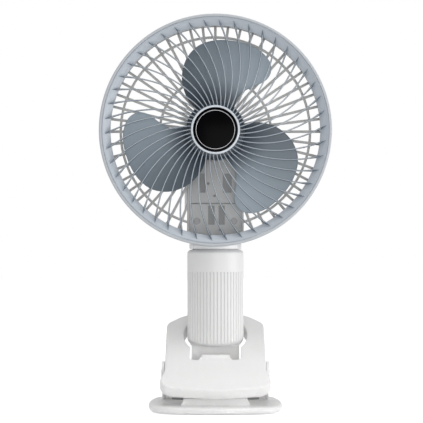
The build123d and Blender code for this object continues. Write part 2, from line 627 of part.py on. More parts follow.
def speed_button():
    """Round push button with a retaining flange inside the tube's wall."""
    inner = button_inner_y()
    outer = STEM_Y + STEM_RADIUS + BUTTON_PROUD - 1
    cap = rod_y(BUTTON_RADIUS, inner, outer, 0, BUTTON_Z)
    cap = fillet(cap.edges().filter_by(GeomType.CIRCLE).group_by(Axis.Y)[-1], 0.7)
    return cap + rod_y(BUTTON_RADIUS + BUTTON_FLANGE, inner, inner + BUTTON_FLANGE_DEPTH, 0, BUTTON_Z)


def light_window():
    y1 = STEM_Y + STEM_RADIUS - FLUTE_BITE
    return block(-WINDOW_WIDTH / 2, WINDOW_WIDTH / 2, STEM_Y + STEM_BORE - 2, y1,
                 WINDOW_Z - WINDOW_HEIGHT / 2, WINDOW_Z + WINDOW_HEIGHT / 2)


# ---------------------------------------------------------------- swivel and neck

def swivel_washer():
    return tube_z(WASHER_RADIUS, SPIGOT_RADIUS + SNUG_FIT, STEM_TOP, STEM_TOP + WASHER_THICKNESS)


def swivel_retainer():
    top = STEM_TOP - STEM_DECK - RUNNING_FIT
    return tube_z(RETAINER_RADIUS, SPIGOT_RADIUS - 1, top - RETAINER_THICKNESS, top)


def swivel_spigot():
    """Hollow neck root that turns in the stem's deck, grooved for the retaining ring."""
    groove_top = STEM_TOP - STEM_DECK - RUNNING_FIT
    bottom = groove_top - RETAINER_THICKNESS - SPIGOT_TIP
    body = tube_z(SPIGOT_RADIUS, SPIGOT_BORE, bottom, NECK_BOTTOM + COLLAR_FLOOR)
    groove = tube_z(SPIGOT_RADIUS + 1, SPIGOT_RADIUS - 1, groove_top - RETAINER_THICKNESS, groove_top)
    return body - groove


def neck_section(radius, y_front):
    """Plan of the neck: square in front, round behind."""
    box = Pos(0, (y_front + STEM_Y) / 2) * Rectangle(2 * radius, STEM_Y - y_front)
    back = Pos(0, STEM_Y) * Circle(radius) - Pos(0, y_front - radius) * Rectangle(4 * radius, 2 * radius)
    return back + box


def head_on_form(half_width, low, y0, y1):
    """Upright tombstone shape round the hub axis, from y0 back to y1."""
    face = Circle(half_width) + Pos(0, (low - HUB_Z) / 2) * Rectangle(2 * half_width, HUB_Z - low)
    plane = Plane(origin=(0, y1, HUB_Z), x_dir=(1, 0, 0), z_dir=(0, -1, 0))
    return extrude(plane * face, y1 - y0)


def neck_form(radius, low, front):
    """Column that is round behind, round-topped seen from the front, and domed over the motor."""
    back = STEM_Y + radius + 1
    column = extrude(Pos(0, 0, low) * neck_section(radius, front), HUB_Z + radius - low)
    column &= head_on_form(radius, low, front, back)
    dome = rod_x(radius, -radius, radius, STEM_Y, HUB_Z)
    dome += block(-radius, radius, front, STEM_Y, HUB_Z, HUB_Z + radius)
    return column & (dome + block(-radius, radius, front, back, low, HUB_Z))


def neck_shell():
    back = STEM_Y + NECK_RADIUS + 1
    column = neck_form(NECK_RADIUS, NECK_BOTTOM, SHELL_FRONT_Y)
    inside = neck_form(NECK_RADIUS - NECK_WALL, NECK_BOTTOM + COLLAR_FLOOR, SHELL_FRONT_Y - 1)
    collar = rod_z(NECK_RADIUS, NECK_BOTTOM, HUB_Z - RIM_RADIUS + 4, 0, STEM_Y)
    flange_back = SHELL_FRONT_Y + FLANGE_THICKNESS
    flange = head_on_form(FLANGE_HALF_WIDTH, FLANGE_BOTTOM_Z, SHELL_FRONT_Y, flange_back)
    shell = column + collar + flange - inside
    saddle = rod_y(RIM_RADIUS + SNUG_FIT, HEAD_FRONT_Y - 1, SHELL_FRONT_Y + 0.5)
    shell -= saddle & block(-60, 60, -60, SHELL_FRONT_Y, NECK_BOTTOM, HUB_Z)
    shell -= rod_z(SPIGOT_RADIUS + SNUG_FIT / 5, NECK_BOTTOM - 1, NECK_BOTTOM + COLLAR_FLOOR, 0, STEM_Y)
    for x, z in grille_screw_places():
        shell -= rod_y(SCREW_RADIUS + SNUG_FIT, SHELL_FRONT_Y - 1, flange_back + 1, x, z)
    for row in range(VENT_COUNT):
        from_middle = row - VENT_COUNT // 2
        half = VENT_HALF_WIDTH - abs(from_middle)
        z = HUB_Z + VENT_PITCH * from_middle
        shell -= block(-half, half, STEM_Y, back, z - VENT_HEIGHT / 2, z + VENT_HEIGHT / 2)
    for x, z in neck_screw_places():
        shell += tube_boss(x, z)
    return shell


def tube_boss(x, z):
    """Screw boss that reaches from the shell's side wall towards the panel."""
    side = 1 if x > 0 else -1
    back = SHELL_FRONT_Y + BOSS_LENGTH
    boss = rod_y(BOSS_RADIUS, SHELL_FRONT_Y, back, x, z)
    boss += block(min(x, side * (NECK_RADIUS - 1)), max(x, side * (NECK_RADIUS - 1)),
                  SHELL_FRONT_Y, back, z - 1, z + 1)
    return boss - rod_y(SCREW_RADIUS + SNUG_FIT, SHELL_FRONT_Y - 1, SHELL_FRONT_Y + BOSS_BORE_DEPTH, x, z)


def neck_screw_places():
    return [(side * NECK_SCREW_X, z) for side in (-1, 1) for z in NECK_SCREW_Z]


def neck_panel():
    """Flat front of the neck behind the grille, with its pockets, cross groove and holes."""
    panel = head_on_form(PANEL_SIDE, HUB_Z - RIM_RADIUS, PANEL_Y, PANEL_Y + PANEL_THICKNESS)
    panel &= rod_y(REAR_OUTER_INSIDE - SNUG_FIT, PANEL_Y, PANEL_Y + PANEL_THICKNESS)
    groove = (-PANEL_SIDE - 1, PANEL_SIDE + 1, PANEL_GROOVE_Z - 0.5, PANEL_GROOVE_Z + 0.5)
    for x0, x1, z0, z1 in PANEL_POCKETS + (groove,):
        panel -= block(x0, x1, PANEL_Y - 1, PANEL_Y + POCKET_DEPTH, z0, z1)
    for x, z in PANEL_HOLES:
        panel -= rod_y(PANEL_HOLE_RADIUS, PANEL_Y - 1, PANEL_Y + POCKET_DEPTH, x, z)
    panel -= rod_y(BUSH_RADIUS + SNUG_FIT, PANEL_Y - 1, SHELL_FRONT_Y)
    for x, z in neck_screw_places():
        panel -= rod_y(SCREW_RADIUS + SNUG_FIT, PANEL_Y - 1, SHELL_FRONT_Y, x, z)
        panel -= rod_y(SCREW_HEAD_RADIUS + SNUG_FIT, PANEL_Y - 1, PANEL_Y + 1.4, x, z)
    return panel


def screw_from_front(x, z, face_y, length):
    head = rod_y(SCREW_HEAD_RADIUS, face_y, face_y + 1.2, x, z)
    slot = block(x - SCREW_HEAD_RADIUS, x + SCREW_HEAD_RADIUS, face_y - 1, face_y + 0.5, z - 0.35, z + 0.35)
    return head - slot + rod_y(SCREW_RADIUS, face_y + 0.8, face_y + length, x, z)


def neck_screws():
    return [screw_from_front(x, z, PANEL_Y + 0.2, 7) for x, z in neck_screw_places()]


def grille_screw_places():
    """Round the upper half of the motor flange."""
    return [(GRILLE_SCREW_RADIUS * cos(radians(a)), HUB_Z + GRILLE_SCREW_RADIUS * sin(radians(a)))
            for a in (0, 60, 120, 180)]


def grille_screws():
    back = SHELL_FRONT_Y + FLANGE_THICKNESS
    return [rod_y(SCREW_RADIUS, depth(REAR_RIB_FRONT_DEPTH) + 0.6, back, x, z)
            + rod_y(SCREW_RADIUS + 0.5, back, back + 1.2, x, z) for x, z in grille_screw_places()]


# ---------------------------------------------------------------- head

def outer_rim():
    ring = tube_y(RIM_RADIUS, RIM_INNER, depth(0), depth(RIM_DEPTH))
    return fillet(ring.edges().filter_by(GeomType.CIRCLE), RIM_WALL * 0.4)


def fin_angle(radius):
    return radians(FIN_ANGLE + FIN_TURN * radius + FIN_TURN_EASE * radius ** 2)


def fin_outline():
    """One curved fin seen from the front, between the hub ring and its tip on the band."""
    radii = [HUB_RING_INNER + 1 + (FIN_TIP_RADIUS - HUB_RING_INNER - 1) * n / 6 for n in range(7)]
    sides = []
    for side in (-0.5, 0.5):
        points = []
        for r in radii:
            half = asin(side * FIN_THICKNESS / r)
            points.append((r * cos(fin_angle(r) + half), r * sin(fin_angle(r) + half)))
        sides.append(points)
    right, left = sides
    edges = [Spline(right), Line(right[-1], left[-1]), Spline(left), Line(left[0], right[0])]
    return make_face(Curve() + edges)


def front_grille():
    back = BAND_BACK_DEPTH + BAND_THICKNESS
    outer = RING_OUTER - FRONT_RING_WALL
    ring = turned_about_hub([(RING_OUTER, BAND_LIP_DEPTH), (RING_OUTER - 0.7, BAND_LIP_DEPTH - 0.2),
                             (BAND_INNER_RADIUS, BAND_BACK_DEPTH), (BAND_INNER_RADIUS, back),
                             (BAND_INNER_RADIUS + 0.9, back), (outer, BAND_LIP_DEPTH + 2.6),
                             (outer, FRONT_RING_DEPTH), (RING_OUTER, FRONT_RING_DEPTH)])
    hub = turned_about_hub([(0, HUB_PLATE_DEPTH), (HUB_RING_INNER, HUB_PLATE_DEPTH), (HUB_RING_INNER, 0.4),
                            (HUB_RING_INNER + 0.5, 0), (HUB_RING_OUTER - 0.6, 0), (HUB_RING_OUTER, 0.7),
                            (HUB_RING_OUTER, FIN_FRONT_DEPTH + FIN_HEIGHT),
                            (0, FIN_FRONT_DEPTH + FIN_HEIGHT)])
    fin = extrude_back(fin_outline(), FIN_FRONT_DEPTH, FIN_HEIGHT)
    centre = Axis((0, 0, HUB_Z), (0, -1, 0))
    fins = [fin.rotate(centre, 360 / FIN_COUNT * n) for n in range(FIN_COUNT)]
    return ring + hub + fins


def hub_badge():
    return turned_about_hub([(0, BADGE_FACE_DEPTH), (HUB_RING_INNER - 0.7, BADGE_FACE_DEPTH),
                             (HUB_RING_INNER - SNUG_FIT, BADGE_FACE_DEPTH + 0.6),
                             (HUB_RING_INNER - SNUG_FIT, HUB_PLATE_DEPTH), (0, HUB_PLATE_DEPTH)])


def badge_ring():
    return tube_y(BADGE_RING_RADIUS + BADGE_RING_WIDTH / 2, BADGE_RING_RADIUS - BADGE_RING_WIDTH / 2,
                  depth(BADGE_FACE_DEPTH - BADGE_RING_PROUD), depth(BADGE_FACE_DEPTH))


def rear_grille():
    face = Circle(REAR_OUTER_INSIDE + 1) - Circle(REAR_OUTER_INSIDE)
    for radius in REAR_RING_RADII:
        face += Circle(radius + REAR_RING_WIDTH / 2) - Circle(radius - REAR_RING_WIDTH / 2)
    inner = PANEL_SIDE + SNUG_FIT + REAR_INNER_WIDTH
    bar_length = REAR_OUTER_INSIDE + 0.5 - PANEL_SIDE
    face += [Rot(0, 0, 360 / REAR_RIB_COUNT * n) * Pos(PANEL_SIDE + bar_length / 2, 0)
             * Rectangle(bar_length, REAR_RIB_WIDTH) for n in range(REAR_RIB_COUNT)]
    room = PANEL_SIDE + SNUG_FIT
    drop = REAR_OUTER_INSIDE
    frame = Circle(inner) + Pos(0, -drop / 2) * Rectangle(2 * room + 2 * REAR_RIB_WIDTH, drop)
    gap = Circle(room) + Pos(0, -drop / 2) * Rectangle(2 * room, drop)
    face = (face + frame) - gap
    plate = extrude_back(face, REAR_RIB_FRONT_DEPTH, REAR_RIB_HEIGHT)
    back = REAR_RIB_FRONT_DEPTH + REAR_RIB_HEIGHT
    wall = RING_OUTER - FRONT_RING_WALL
    ring = turned_about_hub([(REAR_OUTER_INSIDE, REAR_RIB_FRONT_DEPTH), (wall, REAR_RIB_FRONT_DEPTH),
                             (wall, REAR_WALL_FRONT_DEPTH), (RING_OUTER, REAR_WALL_FRONT_DEPTH),
                             (RING_OUTER, back - 2), (wall, back), (REAR_OUTER_INSIDE, back)])
    grille = plate + ring
    collar_room = rod_z(NECK_RADIUS + SNUG_FIT, NECK_BOTTOM, HUB_Z - RIM_RADIUS + 4 + SNUG_FIT, 0, STEM_Y)
    for x, z in grille_screw_places():
        grille -= rod_y(SCREW_RADIUS, depth(REAR_RIB_FRONT_DEPTH) + 0.5, depth(back) + 1, x, z)
    return grille - collar_room


# ---------------------------------------------------------------- impeller and motor

def blade_outline():
    """Front view of the blade above the hub: a forward-leaning lobe with a waist by the hub."""
    polar = [(20, -32), (38, -42), (53.5, -37), (66.7, -30), (79, -21), (88, -10.5), (92, 2), (93.3, 16),
             (93.3, 28), (89.5, 37.5), (83, 42.7), (75, 44.7), (66.7, 43.5), (58, 39.7), (48, 35),
             (41.7, 33.7), (34, 36), (24, 40)]
    scale = BLADE_TIP_RADIUS / 93.3
    points = [(r * scale * sin(radians(a)), r * scale * cos(radians(a))) for r, a in polar]
    return make_face(Curve() + [Spline(points), Line(points[-1], points[0])])


def blade_depth(x, height):
    """Depth of the blade's front face: steep at the trailing side, flatter towards the leading side."""
    turn = degrees(asin(max(-1.0, min(1.0, x / max(sqrt(x * x + height * height), 1.0)))))
    share = max(0.0, min(1.0, (turn + 45) / 92))
    run = IMPELLER_BACK_DEPTH - BLADE_THICKNESS - IMPELLER_FRONT_DEPTH - 1.2
    return IMPELLER_FRONT_DEPTH + 0.6 + run * (1 - (1 - share) ** 1.7)


def blade():
    rows = []
    for i in range(9):
        height = 6 + (BLADE_TIP_RADIUS - 4) * i / 8
        rows.append([Vector(x, depth(blade_depth(x, height)), HUB_Z + height)
                     for x in [-70 + 140 * j / 14 for j in range(15)]])
    sheet = Face.make_surface_from_array_of_points(rows)
    slab = extrude(sheet, BLADE_THICKNESS, dir=(0, 1, 0))
    prism = extrude_back(blade_outline(), 0, IMPELLER_BACK_DEPTH + 5)
    return slab & prism


def impeller():
    back = IMPELLER_BACK_DEPTH
    hub = turned_about_hub([(SHAFT_RADIUS + SNUG_FIT / 5, IMPELLER_FRONT_DEPTH + 1),
                            (PUSH_NUT_RADIUS + 0.5, IMPELLER_FRONT_DEPTH + 1),
                            (PUSH_NUT_RADIUS + 0.5, IMPELLER_FRONT_DEPTH),
                            (IMPELLER_HUB_RADIUS - HUB_ROUND, IMPELLER_FRONT_DEPTH),
                            (IMPELLER_HUB_RADIUS, IMPELLER_FRONT_DEPTH + HUB_ROUND),
                            (IMPELLER_HUB_RADIUS, back), (IMPELLER_HUB_RADIUS - IMPELLER_HUB_WALL, back),
                            (IMPELLER_HUB_RADIUS - IMPELLER_HUB_WALL, IMPELLER_FRONT_DEPTH + HUB_FACE + 1),
                            (HUB_BOSS_RADIUS, IMPELLER_FRONT_DEPTH + HUB_FACE + 1),
                            (HUB_BOSS_RADIUS, back - 2), (SHAFT_RADIUS + SNUG_FIT / 5, back - 2)])
    room = rod_y(IMPELLER_HUB_RADIUS - IMPELLER_HUB_WALL / 2, depth(0), depth(back) + 5)
    lobe = blade() - room
    centre = Axis((0, 0, HUB_Z), (0, 1, 0))
    return hub + [lobe.rotate(centre, 360 / BLADE_COUNT * n) for n in range(BLADE_COUNT)]


def can_front_y():
    return SHELL_FRONT_Y + CAN_SETBACK


def can_length():
    """As long as the dome over its rear rim allows."""
    dome = NECK_RADIUS - NECK_WALL - CAN_ROOM
    return STEM_Y + sqrt(dome ** 2 - CAN_RADIUS ** 2) - can_front_y()


def motor_can():
    y0 = can_front_y()
    can = rod_y(CAN_RADIUS, y0, y0 + can_length())
    can -= rod_y(CAN_RADIUS - CAN_WALL, y0 + CAN_WALL, y0 + can_length() - CAN_WALL)
    return can - rod_y(BUSH_RADIUS + RUNNING_FIT, y0 - 1, y0 + can_length() + 1)


def motor_bush(y0):
    bush = rod_y(BUSH_RADIUS, y0, y0 + BUSH_LENGTH)
    return bush - rod_y(SHAFT_RADIUS + RUNNING_FIT, y0 - 1, y0 + BUSH_LENGTH + 1)


def motor_middle_y():
    return can_front_y() + can_length() / 2


def motor_stator():
    half = can_length() / 2 - STATOR_SETBACK
    y = motor_middle_y()
    return tube_y(CAN_RADIUS - CAN_WALL - RUNNING_FIT, STATOR_INNER, y - half, y + half)


def motor_rotor():
    half = can_length() / 2 - ROTOR_SETBACK
    y = motor_middle_y()
    return tube_y(ROTOR_RADIUS, SHAFT_RADIUS + SNUG_FIT / 5, y - half, y + half)


def motor_shaft():
    return rod_y(SHAFT_RADIUS, depth(IMPELLER_FRONT_DEPTH) + 0.1, can_front_y() + can_length() - 0.4)


def push_nut():
    y = depth(IMPELLER_FRONT_DEPTH + 1)
    nut = rod_y(PUSH_NUT_RADIUS, y - PUSH_NUT_THICKNESS, y)
    return nut - rod_y(SHAFT_RADIUS + SNUG_FIT / 5, y - 3, y + 1)


# ---------------------------------------------------------------- write every piece

os.makedirs("parts", exist_ok=True)
save("base_plate", base_plate())
save("foot_sheet", foot_sheet())
save("jaw_block", jaw_block())
save("tilt_knuckle", tilt_knuckle())
save("knuckle_screws", *knuckle_screws())
save("hinge_axle", hinge_axle())
right_spring, left_spring = both_sides(clip_spring())
save("clip_spring_right", right_spring)
save("clip_spring_left", left_spring)
save("clip_plate", clip_plate())
save("upper_pad", upper_pad())
save("spring_arms", *both_sides(spring_arm()))
save("stem_tube", stem_tube())
save("stem_yoke", stem_yoke())
save("tilt_bolt", tilt_bolt())
save("tilt_nut", tilt_nut())
save("battery_cell_left", battery_cell(-1))
save("battery_cell_right", battery_cell(1))
save("battery_cradle", battery_cradle())
save("control_board", control_board())
save("charge_socket", charge_socket())
save("light_window", light_window())
save("speed_button", speed_button())
save("swivel_washer", swivel_washer())
save("swivel_retainer", swivel_retainer())
save("swivel_spigot", swivel_spigot())
save("neck_shell", neck_shell())
save("neck_panel", neck_panel())
save("neck_screws", *neck_screws())
save("grille_screws", *grille_screws())
save("outer_rim", outer_rim())
save("front_grille", front_grille())
save("hub_badge", hub_badge())
save("badge_ring", badge_ring())
save("rear_grille", rear_grille())
save("impeller", impeller())
save("motor_can", motor_can())
save("motor_bush_front", motor_bush(can_front_y()))
save("motor_bush_rear", motor_bush(can_front_y() + can_length() - BUSH_LENGTH))
save("motor_stator", motor_stator())
save("motor_rotor", motor_rotor())
save("motor_shaft", motor_shaft())
save("push_nut", push_nut())
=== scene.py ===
import math

import bmesh
import bpy
import numpy as np
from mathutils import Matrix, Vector


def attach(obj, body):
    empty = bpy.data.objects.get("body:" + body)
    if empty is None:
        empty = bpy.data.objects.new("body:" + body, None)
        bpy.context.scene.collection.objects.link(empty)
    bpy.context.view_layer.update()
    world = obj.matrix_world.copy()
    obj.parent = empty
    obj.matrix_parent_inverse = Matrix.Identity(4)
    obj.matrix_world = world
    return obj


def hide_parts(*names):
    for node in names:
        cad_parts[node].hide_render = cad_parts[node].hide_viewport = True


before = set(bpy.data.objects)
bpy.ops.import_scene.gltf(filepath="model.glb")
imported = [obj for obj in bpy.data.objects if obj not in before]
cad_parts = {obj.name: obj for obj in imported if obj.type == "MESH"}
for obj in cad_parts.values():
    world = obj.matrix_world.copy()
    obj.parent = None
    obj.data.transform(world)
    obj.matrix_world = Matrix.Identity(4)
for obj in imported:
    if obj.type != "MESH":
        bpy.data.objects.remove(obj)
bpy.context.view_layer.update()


# ---- Foot sheet ----
# A rounded square of dark anti-slip rubber, die-cut from sheet with a fine pebbled face. It is glued
# into a shallow recess under the base and stands a little proud of it, so the fan rests on it alone.

MM = 0.001
BASE_HALF = 53.28
BASE_CORNER = 20.0
BASE_SIDE_ARC = 173.0
FOOT_SETBACK = 6.5
FOOT_TOP = 1.5


def rounded_path(corners, radii, steps=6, closed=True):
    """Points along a polygon whose corners are rounded by arcs: each corner's arc is tangent to both of
    its sides, at the distance radius times the tangent of half the turn from the corner."""
    corners = np.asarray(corners, float)
    last = len(corners) - 1
    share = np.linspace(0, 1, steps + 1)[:, None]
    pieces = []
    for i, radius in enumerate(np.broadcast_to(radii, len(corners))):
        here = corners[i]
        if radius <= 0 or (not closed and i in (0, last)):
            pieces.append(here[None])
            continue
        sides = [corners[i - 1] - here, corners[i + 1 if i < last else 0] - here]
        back, ahead = (side / np.linalg.norm(side) for side in sides)
        turn = math.acos(np.clip(-back @ ahead, -1, 1))
        centre = here + (back + ahead) * radius / math.sin(turn)
        start, end = (here + side * radius * math.tan(turn / 2) - centre for side in (back, ahead))
        rounding = start * np.sin((1 - share) * turn) + end * np.sin(share * turn)
        pieces.append(centre + rounding / math.sin(turn))
    return np.concatenate(pieces)


def surface_object(name, grids, sharp=35.0):
    """One mesh object from grids of points in millimetres. A grid is (points, wrap_rows, wrap_columns), or
    the points alone where only the columns wrap. Every four neighbouring points make a face, and doubled
    points at poles and seams are merged."""
    vertices, faces, first = [], [], 0
    for grid in grids:
        points, wrap_rows, wrap_columns = grid if isinstance(grid, tuple) else (grid, False, True)
        rows, columns = points.shape[:2]
        index = first + np.arange(rows * columns).reshape(rows, columns)
        if wrap_rows:
            index = np.vstack([index, index[:1]])
        if wrap_columns:
            index = np.hstack([index, index[:, :1]])
        quads = np.stack([index[:-1, :-1], index[:-1, 1:], index[1:, 1:], index[1:, :-1]], -1)
        vertices.append(points.reshape(-1, 3))
        faces.append(quads.reshape(-1, 4))
        first += rows * columns
    mesh = bpy.data.meshes.new(name)
    mesh.from_pydata(np.concatenate(vertices) * MM, [], np.concatenate(faces))
    shape = bmesh.new()
    shape.from_mesh(mesh)
    bmesh.ops.remove_doubles(shape, verts=shape.verts, dist=2e-6)
    bmesh.ops.dissolve_degenerate(shape, edges=shape.edges, dist=1e-7)
    bmesh.ops.recalc_face_normals(shape, faces=shape.faces)
    shape.to_mesh(mesh)
    shape.free()
    mesh.shade_smooth()
    mesh.set_sharp_from_angle(angle=math.radians(sharp))
    return linked(name, mesh)


def linked(name, data):
    """New object in the scene for a mesh, a lamp or a camera."""
    made = bpy.data.objects.new(name, data)
    bpy.context.scene.collection.objects.link(made)
    return made


def rays(angles):
    """Unit vectors (cosine, sine) for an array of angles."""
    return np.stack([np.cos(angles), np.sin(angles)], -1)


def base_ring(inset, height, steps=28):
    """Points round the base at an inset and a height: four bowed sides joined by round corners. The point
    where the outline faces angle f is its arc's centre plus (arc radius - inset) times (cos f, sin f)."""
    middle = BASE_SIDE_ARC - BASE_HALF
    span = BASE_SIDE_ARC - BASE_CORNER
    place = (-middle + math.sqrt(2 * span ** 2 - middle ** 2)) / 2
    lean = math.asin(place / span)
    side = np.linspace(-lean, lean, steps, endpoint=False)
    corner = np.linspace(lean, math.pi / 2 - lean, steps, endpoint=False)
    radius = np.repeat([BASE_SIDE_ARC, BASE_CORNER], steps) - inset
    centre = np.repeat([[-middle, 0], [place, place]], steps, axis=0)
    x, y = (centre + radius[:, None] * rays(np.concatenate([side, corner]))).T
    outline = np.concatenate([np.stack(turn, -1) for turn in ((x, y), (-y, x), (-x, -y), (y, -x))])
    if inset >= BASE_CORNER:
        outline = outline * 0.0
    return np.concatenate([outline, np.full((len(outline), 1), height)], -1)


def stacked_rings(profile):
    """Grid of base rings for a profile of (inset, height)."""
    return np.stack([base_ring(inset, height) for inset, height in profile])


def feed(node, inputs):
    """Give each named input of a node its value, or link it to another node's output."""
    for name, given in inputs.items():
        if isinstance(given, bpy.types.NodeSocket):
            node.id_data.links.new(given, node.inputs[name])
        else:
            node.inputs[name].default_value = given


def node_output(tree, kind, inputs, output=0, **settings):
    """Add a shader node with its settings, feed its inputs, and give back one of its outputs."""
    node = tree.nodes.new("ShaderNode" + kind)
    for name, value in settings.items():
        setattr(node, name, value)
    feed(node, inputs)
    return node.outputs[output]


def maths(tree, operation, *values):
    """Output of a maths node that works on numbers or other nodes' outputs."""
    return node_output(tree, "Math", dict(enumerate(values)), operation=operation)


def node_group(name, inputs, outputs):
    """New node group with inputs {name: value} and outputs {name: kind}. Gives the group, the outputs of
    its input node and its output node."""
    group = bpy.data.node_groups.new(name, "ShaderNodeTree")
    for label, value in inputs.items():
        kind = "NodeSocketColor" if isinstance(value, tuple) else "NodeSocketFloat"
        group.interface.new_socket(label, in_out="INPUT", socket_type=kind).default_value = value
    for label, kind in outputs.items():
        group.interface.new_socket(label, in_out="OUTPUT", socket_type="NodeSocket" + kind)
    return group, group.nodes.new("NodeGroupInput").outputs, group.nodes.new("NodeGroupOutput")


def moulded_skin_group():
    """Spark-eroded mould skin: fine noise for the grain, and slow noise for a drift of tone."""
    group, given, out = node_group(
        "moulded_skin", {"Colour": (0.8, 0.8, 0.8, 1), "Grain Size": 0.4, "Tone Drift": 0.03,
                         "Roughness": 0.45, "Roughness Drift": 0.08},
        {"Colour": "Color", "Roughness": "Float", "Height": "Float"})
    place = node_output(group, "TexCoord", {}, "Object")
    scale = maths(group, "DIVIDE", 1 / MM, given["Grain Size"])
    grain = node_output(group, "TexNoise", {"Vector": place, "Scale": scale, "Detail": 3.0})
    drift = node_output(group, "TexNoise", {"Vector": place, "Scale": 22.0, "Detail": 4.0})
    dimmest = maths(group, "SUBTRACT", 1.0, given["Tone Drift"])
    shade = node_output(group, "MapRange",
                        {"Value": drift, "From Min": 0.3, "From Max": 0.7, "To Min": dimmest})
    tone = node_output(group, "VectorMath", {0: given["Colour"], "Scale": shade}, operation="SCALE")
    rough = maths(group, "MULTIPLY_ADD", grain, given["Roughness Drift"], given["Roughness"])
    feed(out, {"Colour": tone, "Roughness": rough, "Height": grain})
    return group


MOULDED_SKIN = moulded_skin_group()
FINISHES = {}


def plastic(name, colour, roughness=0.42, grain=0.35, bump=0.02, drift=0.03, specular=0.5):
    """Moulded plastic or rubber: the skin group feeds colour, roughness and a fine bump. The material is
    kept in FINISHES under its name."""
    material = bpy.data.materials.new(name)
    material.use_nodes = True
    tree = material.node_tree
    skin = tree.nodes.new("ShaderNodeGroup")
    skin.node_tree = MOULDED_SKIN
    feed(skin, {"Colour": (*colour, 1), "Grain Size": grain, "Tone Drift": drift,
                "Roughness": roughness - 0.05, "Roughness Drift": 0.1})
    raised = node_output(tree, "Bump",
                         {"Strength": 0.5, "Distance": bump * MM, "Height": skin.outputs["Height"]})
    feed(tree.nodes["Principled BSDF"],
         {"Base Color": skin.outputs["Colour"], "Roughness": skin.outputs["Roughness"],
          "Specular IOR Level": specular, "Normal": raised})
    FINISHES[name] = material
    return material


def finish_piece(piece, node, body, slot, finish=None):
    """Material, body and slot of a new piece, and the frame node that it stands for. The finish is the
    slot's own unless another is named."""
    piece.data.materials.clear()
    piece.data.materials.append(FINISHES[finish or slot])
    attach(piece, body)
    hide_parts(node)


def new_piece(node, body, slot, grids, sharp=35.0):
    """Piece made of grids that stands for a frame node and is named after it."""
    finish_piece(surface_object(node + "_visual", grids, sharp), node, body, slot)


plastic("foot_rubber", (0.055, 0.055, 0.058), roughness=0.75, grain=0.9, bump=0.12)
foot_profile = rounded_path([(BASE_HALF, 0), (FOOT_SETBACK, 0), (FOOT_SETBACK, FOOT_TOP),
                             (BASE_HALF, FOOT_TOP)], [0, 0.4, 0.2, 0], closed=False)
new_piece("foot_sheet", "base", "foot_rubber", [stacked_rings(foot_profile)])


# ---- Base plate ----
# A thick rounded square of white ABS with a soft rim, injection-moulded with the two hinge cheeks that
# lean forward from its back half. The cheeks hold the ends of the clip's steel axle.

BASE_BOTTOM = 0.6
BASE_TOP = 5.5
BASE_EDGE_ROUND = 2.2
RECESS_SETBACK = FOOT_SETBACK - 0.1
HINGE_Y = -3.0
HINGE_Z = 30.0
CHEEK_INNER = 40.5
CHEEK_OUTER = 43.1
CHEEK_ROUND = 8.0
CHEEK_FOOT = (20.0, 31.0)
CHEEK_HEEL = 2.0
CHEEK_SINK = 0.8
CHEEK_LEAN = math.radians(35)
GUSSET_THICKNESS = 4.7
GUSSET_HEIGHT = 7.0
GUSSET_GROOVES = 3
GUSSET_PITCH = 1.4
GUSSET_SINK = 1.0


def arc(centre, radius, start, end, count):
    """Points on a circle from one angle to another, or on an ellipse where two radii are given."""
    return centre + radius * rays(np.linspace(start, end, count))


def path_normals(path, reach=1, closed=True):
    """Unit normals on the right of a path, square to the line between the points ahead and behind."""
    ahead = np.roll(path, -reach, 0) - np.roll(path, reach, 0) if closed else np.gradient(path, axis=0)
    normal = np.stack([ahead[:, 1], -ahead[:, 0]], -1)
    return normal / (np.linalg.norm(normal, axis=1)[:, None] + 1e-9)


def plate(outline, low, high, order="yzx", edge=0.6):
    """Closed plate from an outline in the first two axes of order, between low and high on the third. Its
    edges are rounded: the outline moves in by edge times (1 - sin t) while the third axis moves by
    edge times (1 - cos t)."""
    outline = np.asarray(outline, float)
    x, y = outline.T
    outward = path_normals(outline) * np.sign(np.sum(x * np.roll(y, -1) - np.roll(x, -1) * y))
    turn = np.linspace(0, math.pi / 2, 5)
    inset, rise = edge * (1 - np.sin(turn)), edge * (1 - np.cos(turn))
    rings = outline - np.concatenate([inset, inset[::-1]])[:, None, None] * outward
    cap = np.broadcast_to(outline.mean(0), (1,) + outline.shape)
    rings = np.concatenate([cap, rings, cap])
    place = np.concatenate([[low], low + rise, (high - rise)[::-1], [high]])
    third = np.broadcast_to(place[:, None, None], rings.shape[:2] + (1,))
    axes = dict(zip(order, np.moveaxis(np.concatenate([rings, third], -1), -1, 0)))
    return np.stack([axes[axis] for axis in "xyz"], -1)


def cheek_outline():
    """Side view of a cheek: most of a circle round the axle, whose two tangents run down to the foot."""
    eye = arc((HINGE_Y, HINGE_Z), CHEEK_ROUND, math.pi / 2 - CHEEK_LEAN, 3 * math.pi / 2 - CHEEK_LEAN, 29)
    front, back = CHEEK_FOOT
    low = BASE_TOP - CHEEK_SINK
    return np.concatenate([[(front, low), (back, low), (back, BASE_TOP + CHEEK_HEEL)], eye])


def gusset_outline():
    """Plan of the block inside a cheek's foot, with round grooves down its front."""
    inner, outer = CHEEK_INNER - GUSSET_THICKNESS, CHEEK_INNER + GUSSET_SINK
    front, back = CHEEK_FOOT
    grooves = [arc((inner + GUSSET_PITCH * (n + 0.5), front), GUSSET_PITCH / 4, math.pi, 0, 7)
               for n in range(GUSSET_GROOVES)]
    return np.concatenate([[(inner, back), (inner, front)], *grooves, [(outer, front), (outer, back)]])


def mirrored(points):
    """The same grid on the other side of the object."""
    return points * np.array([-1, 1, 1])


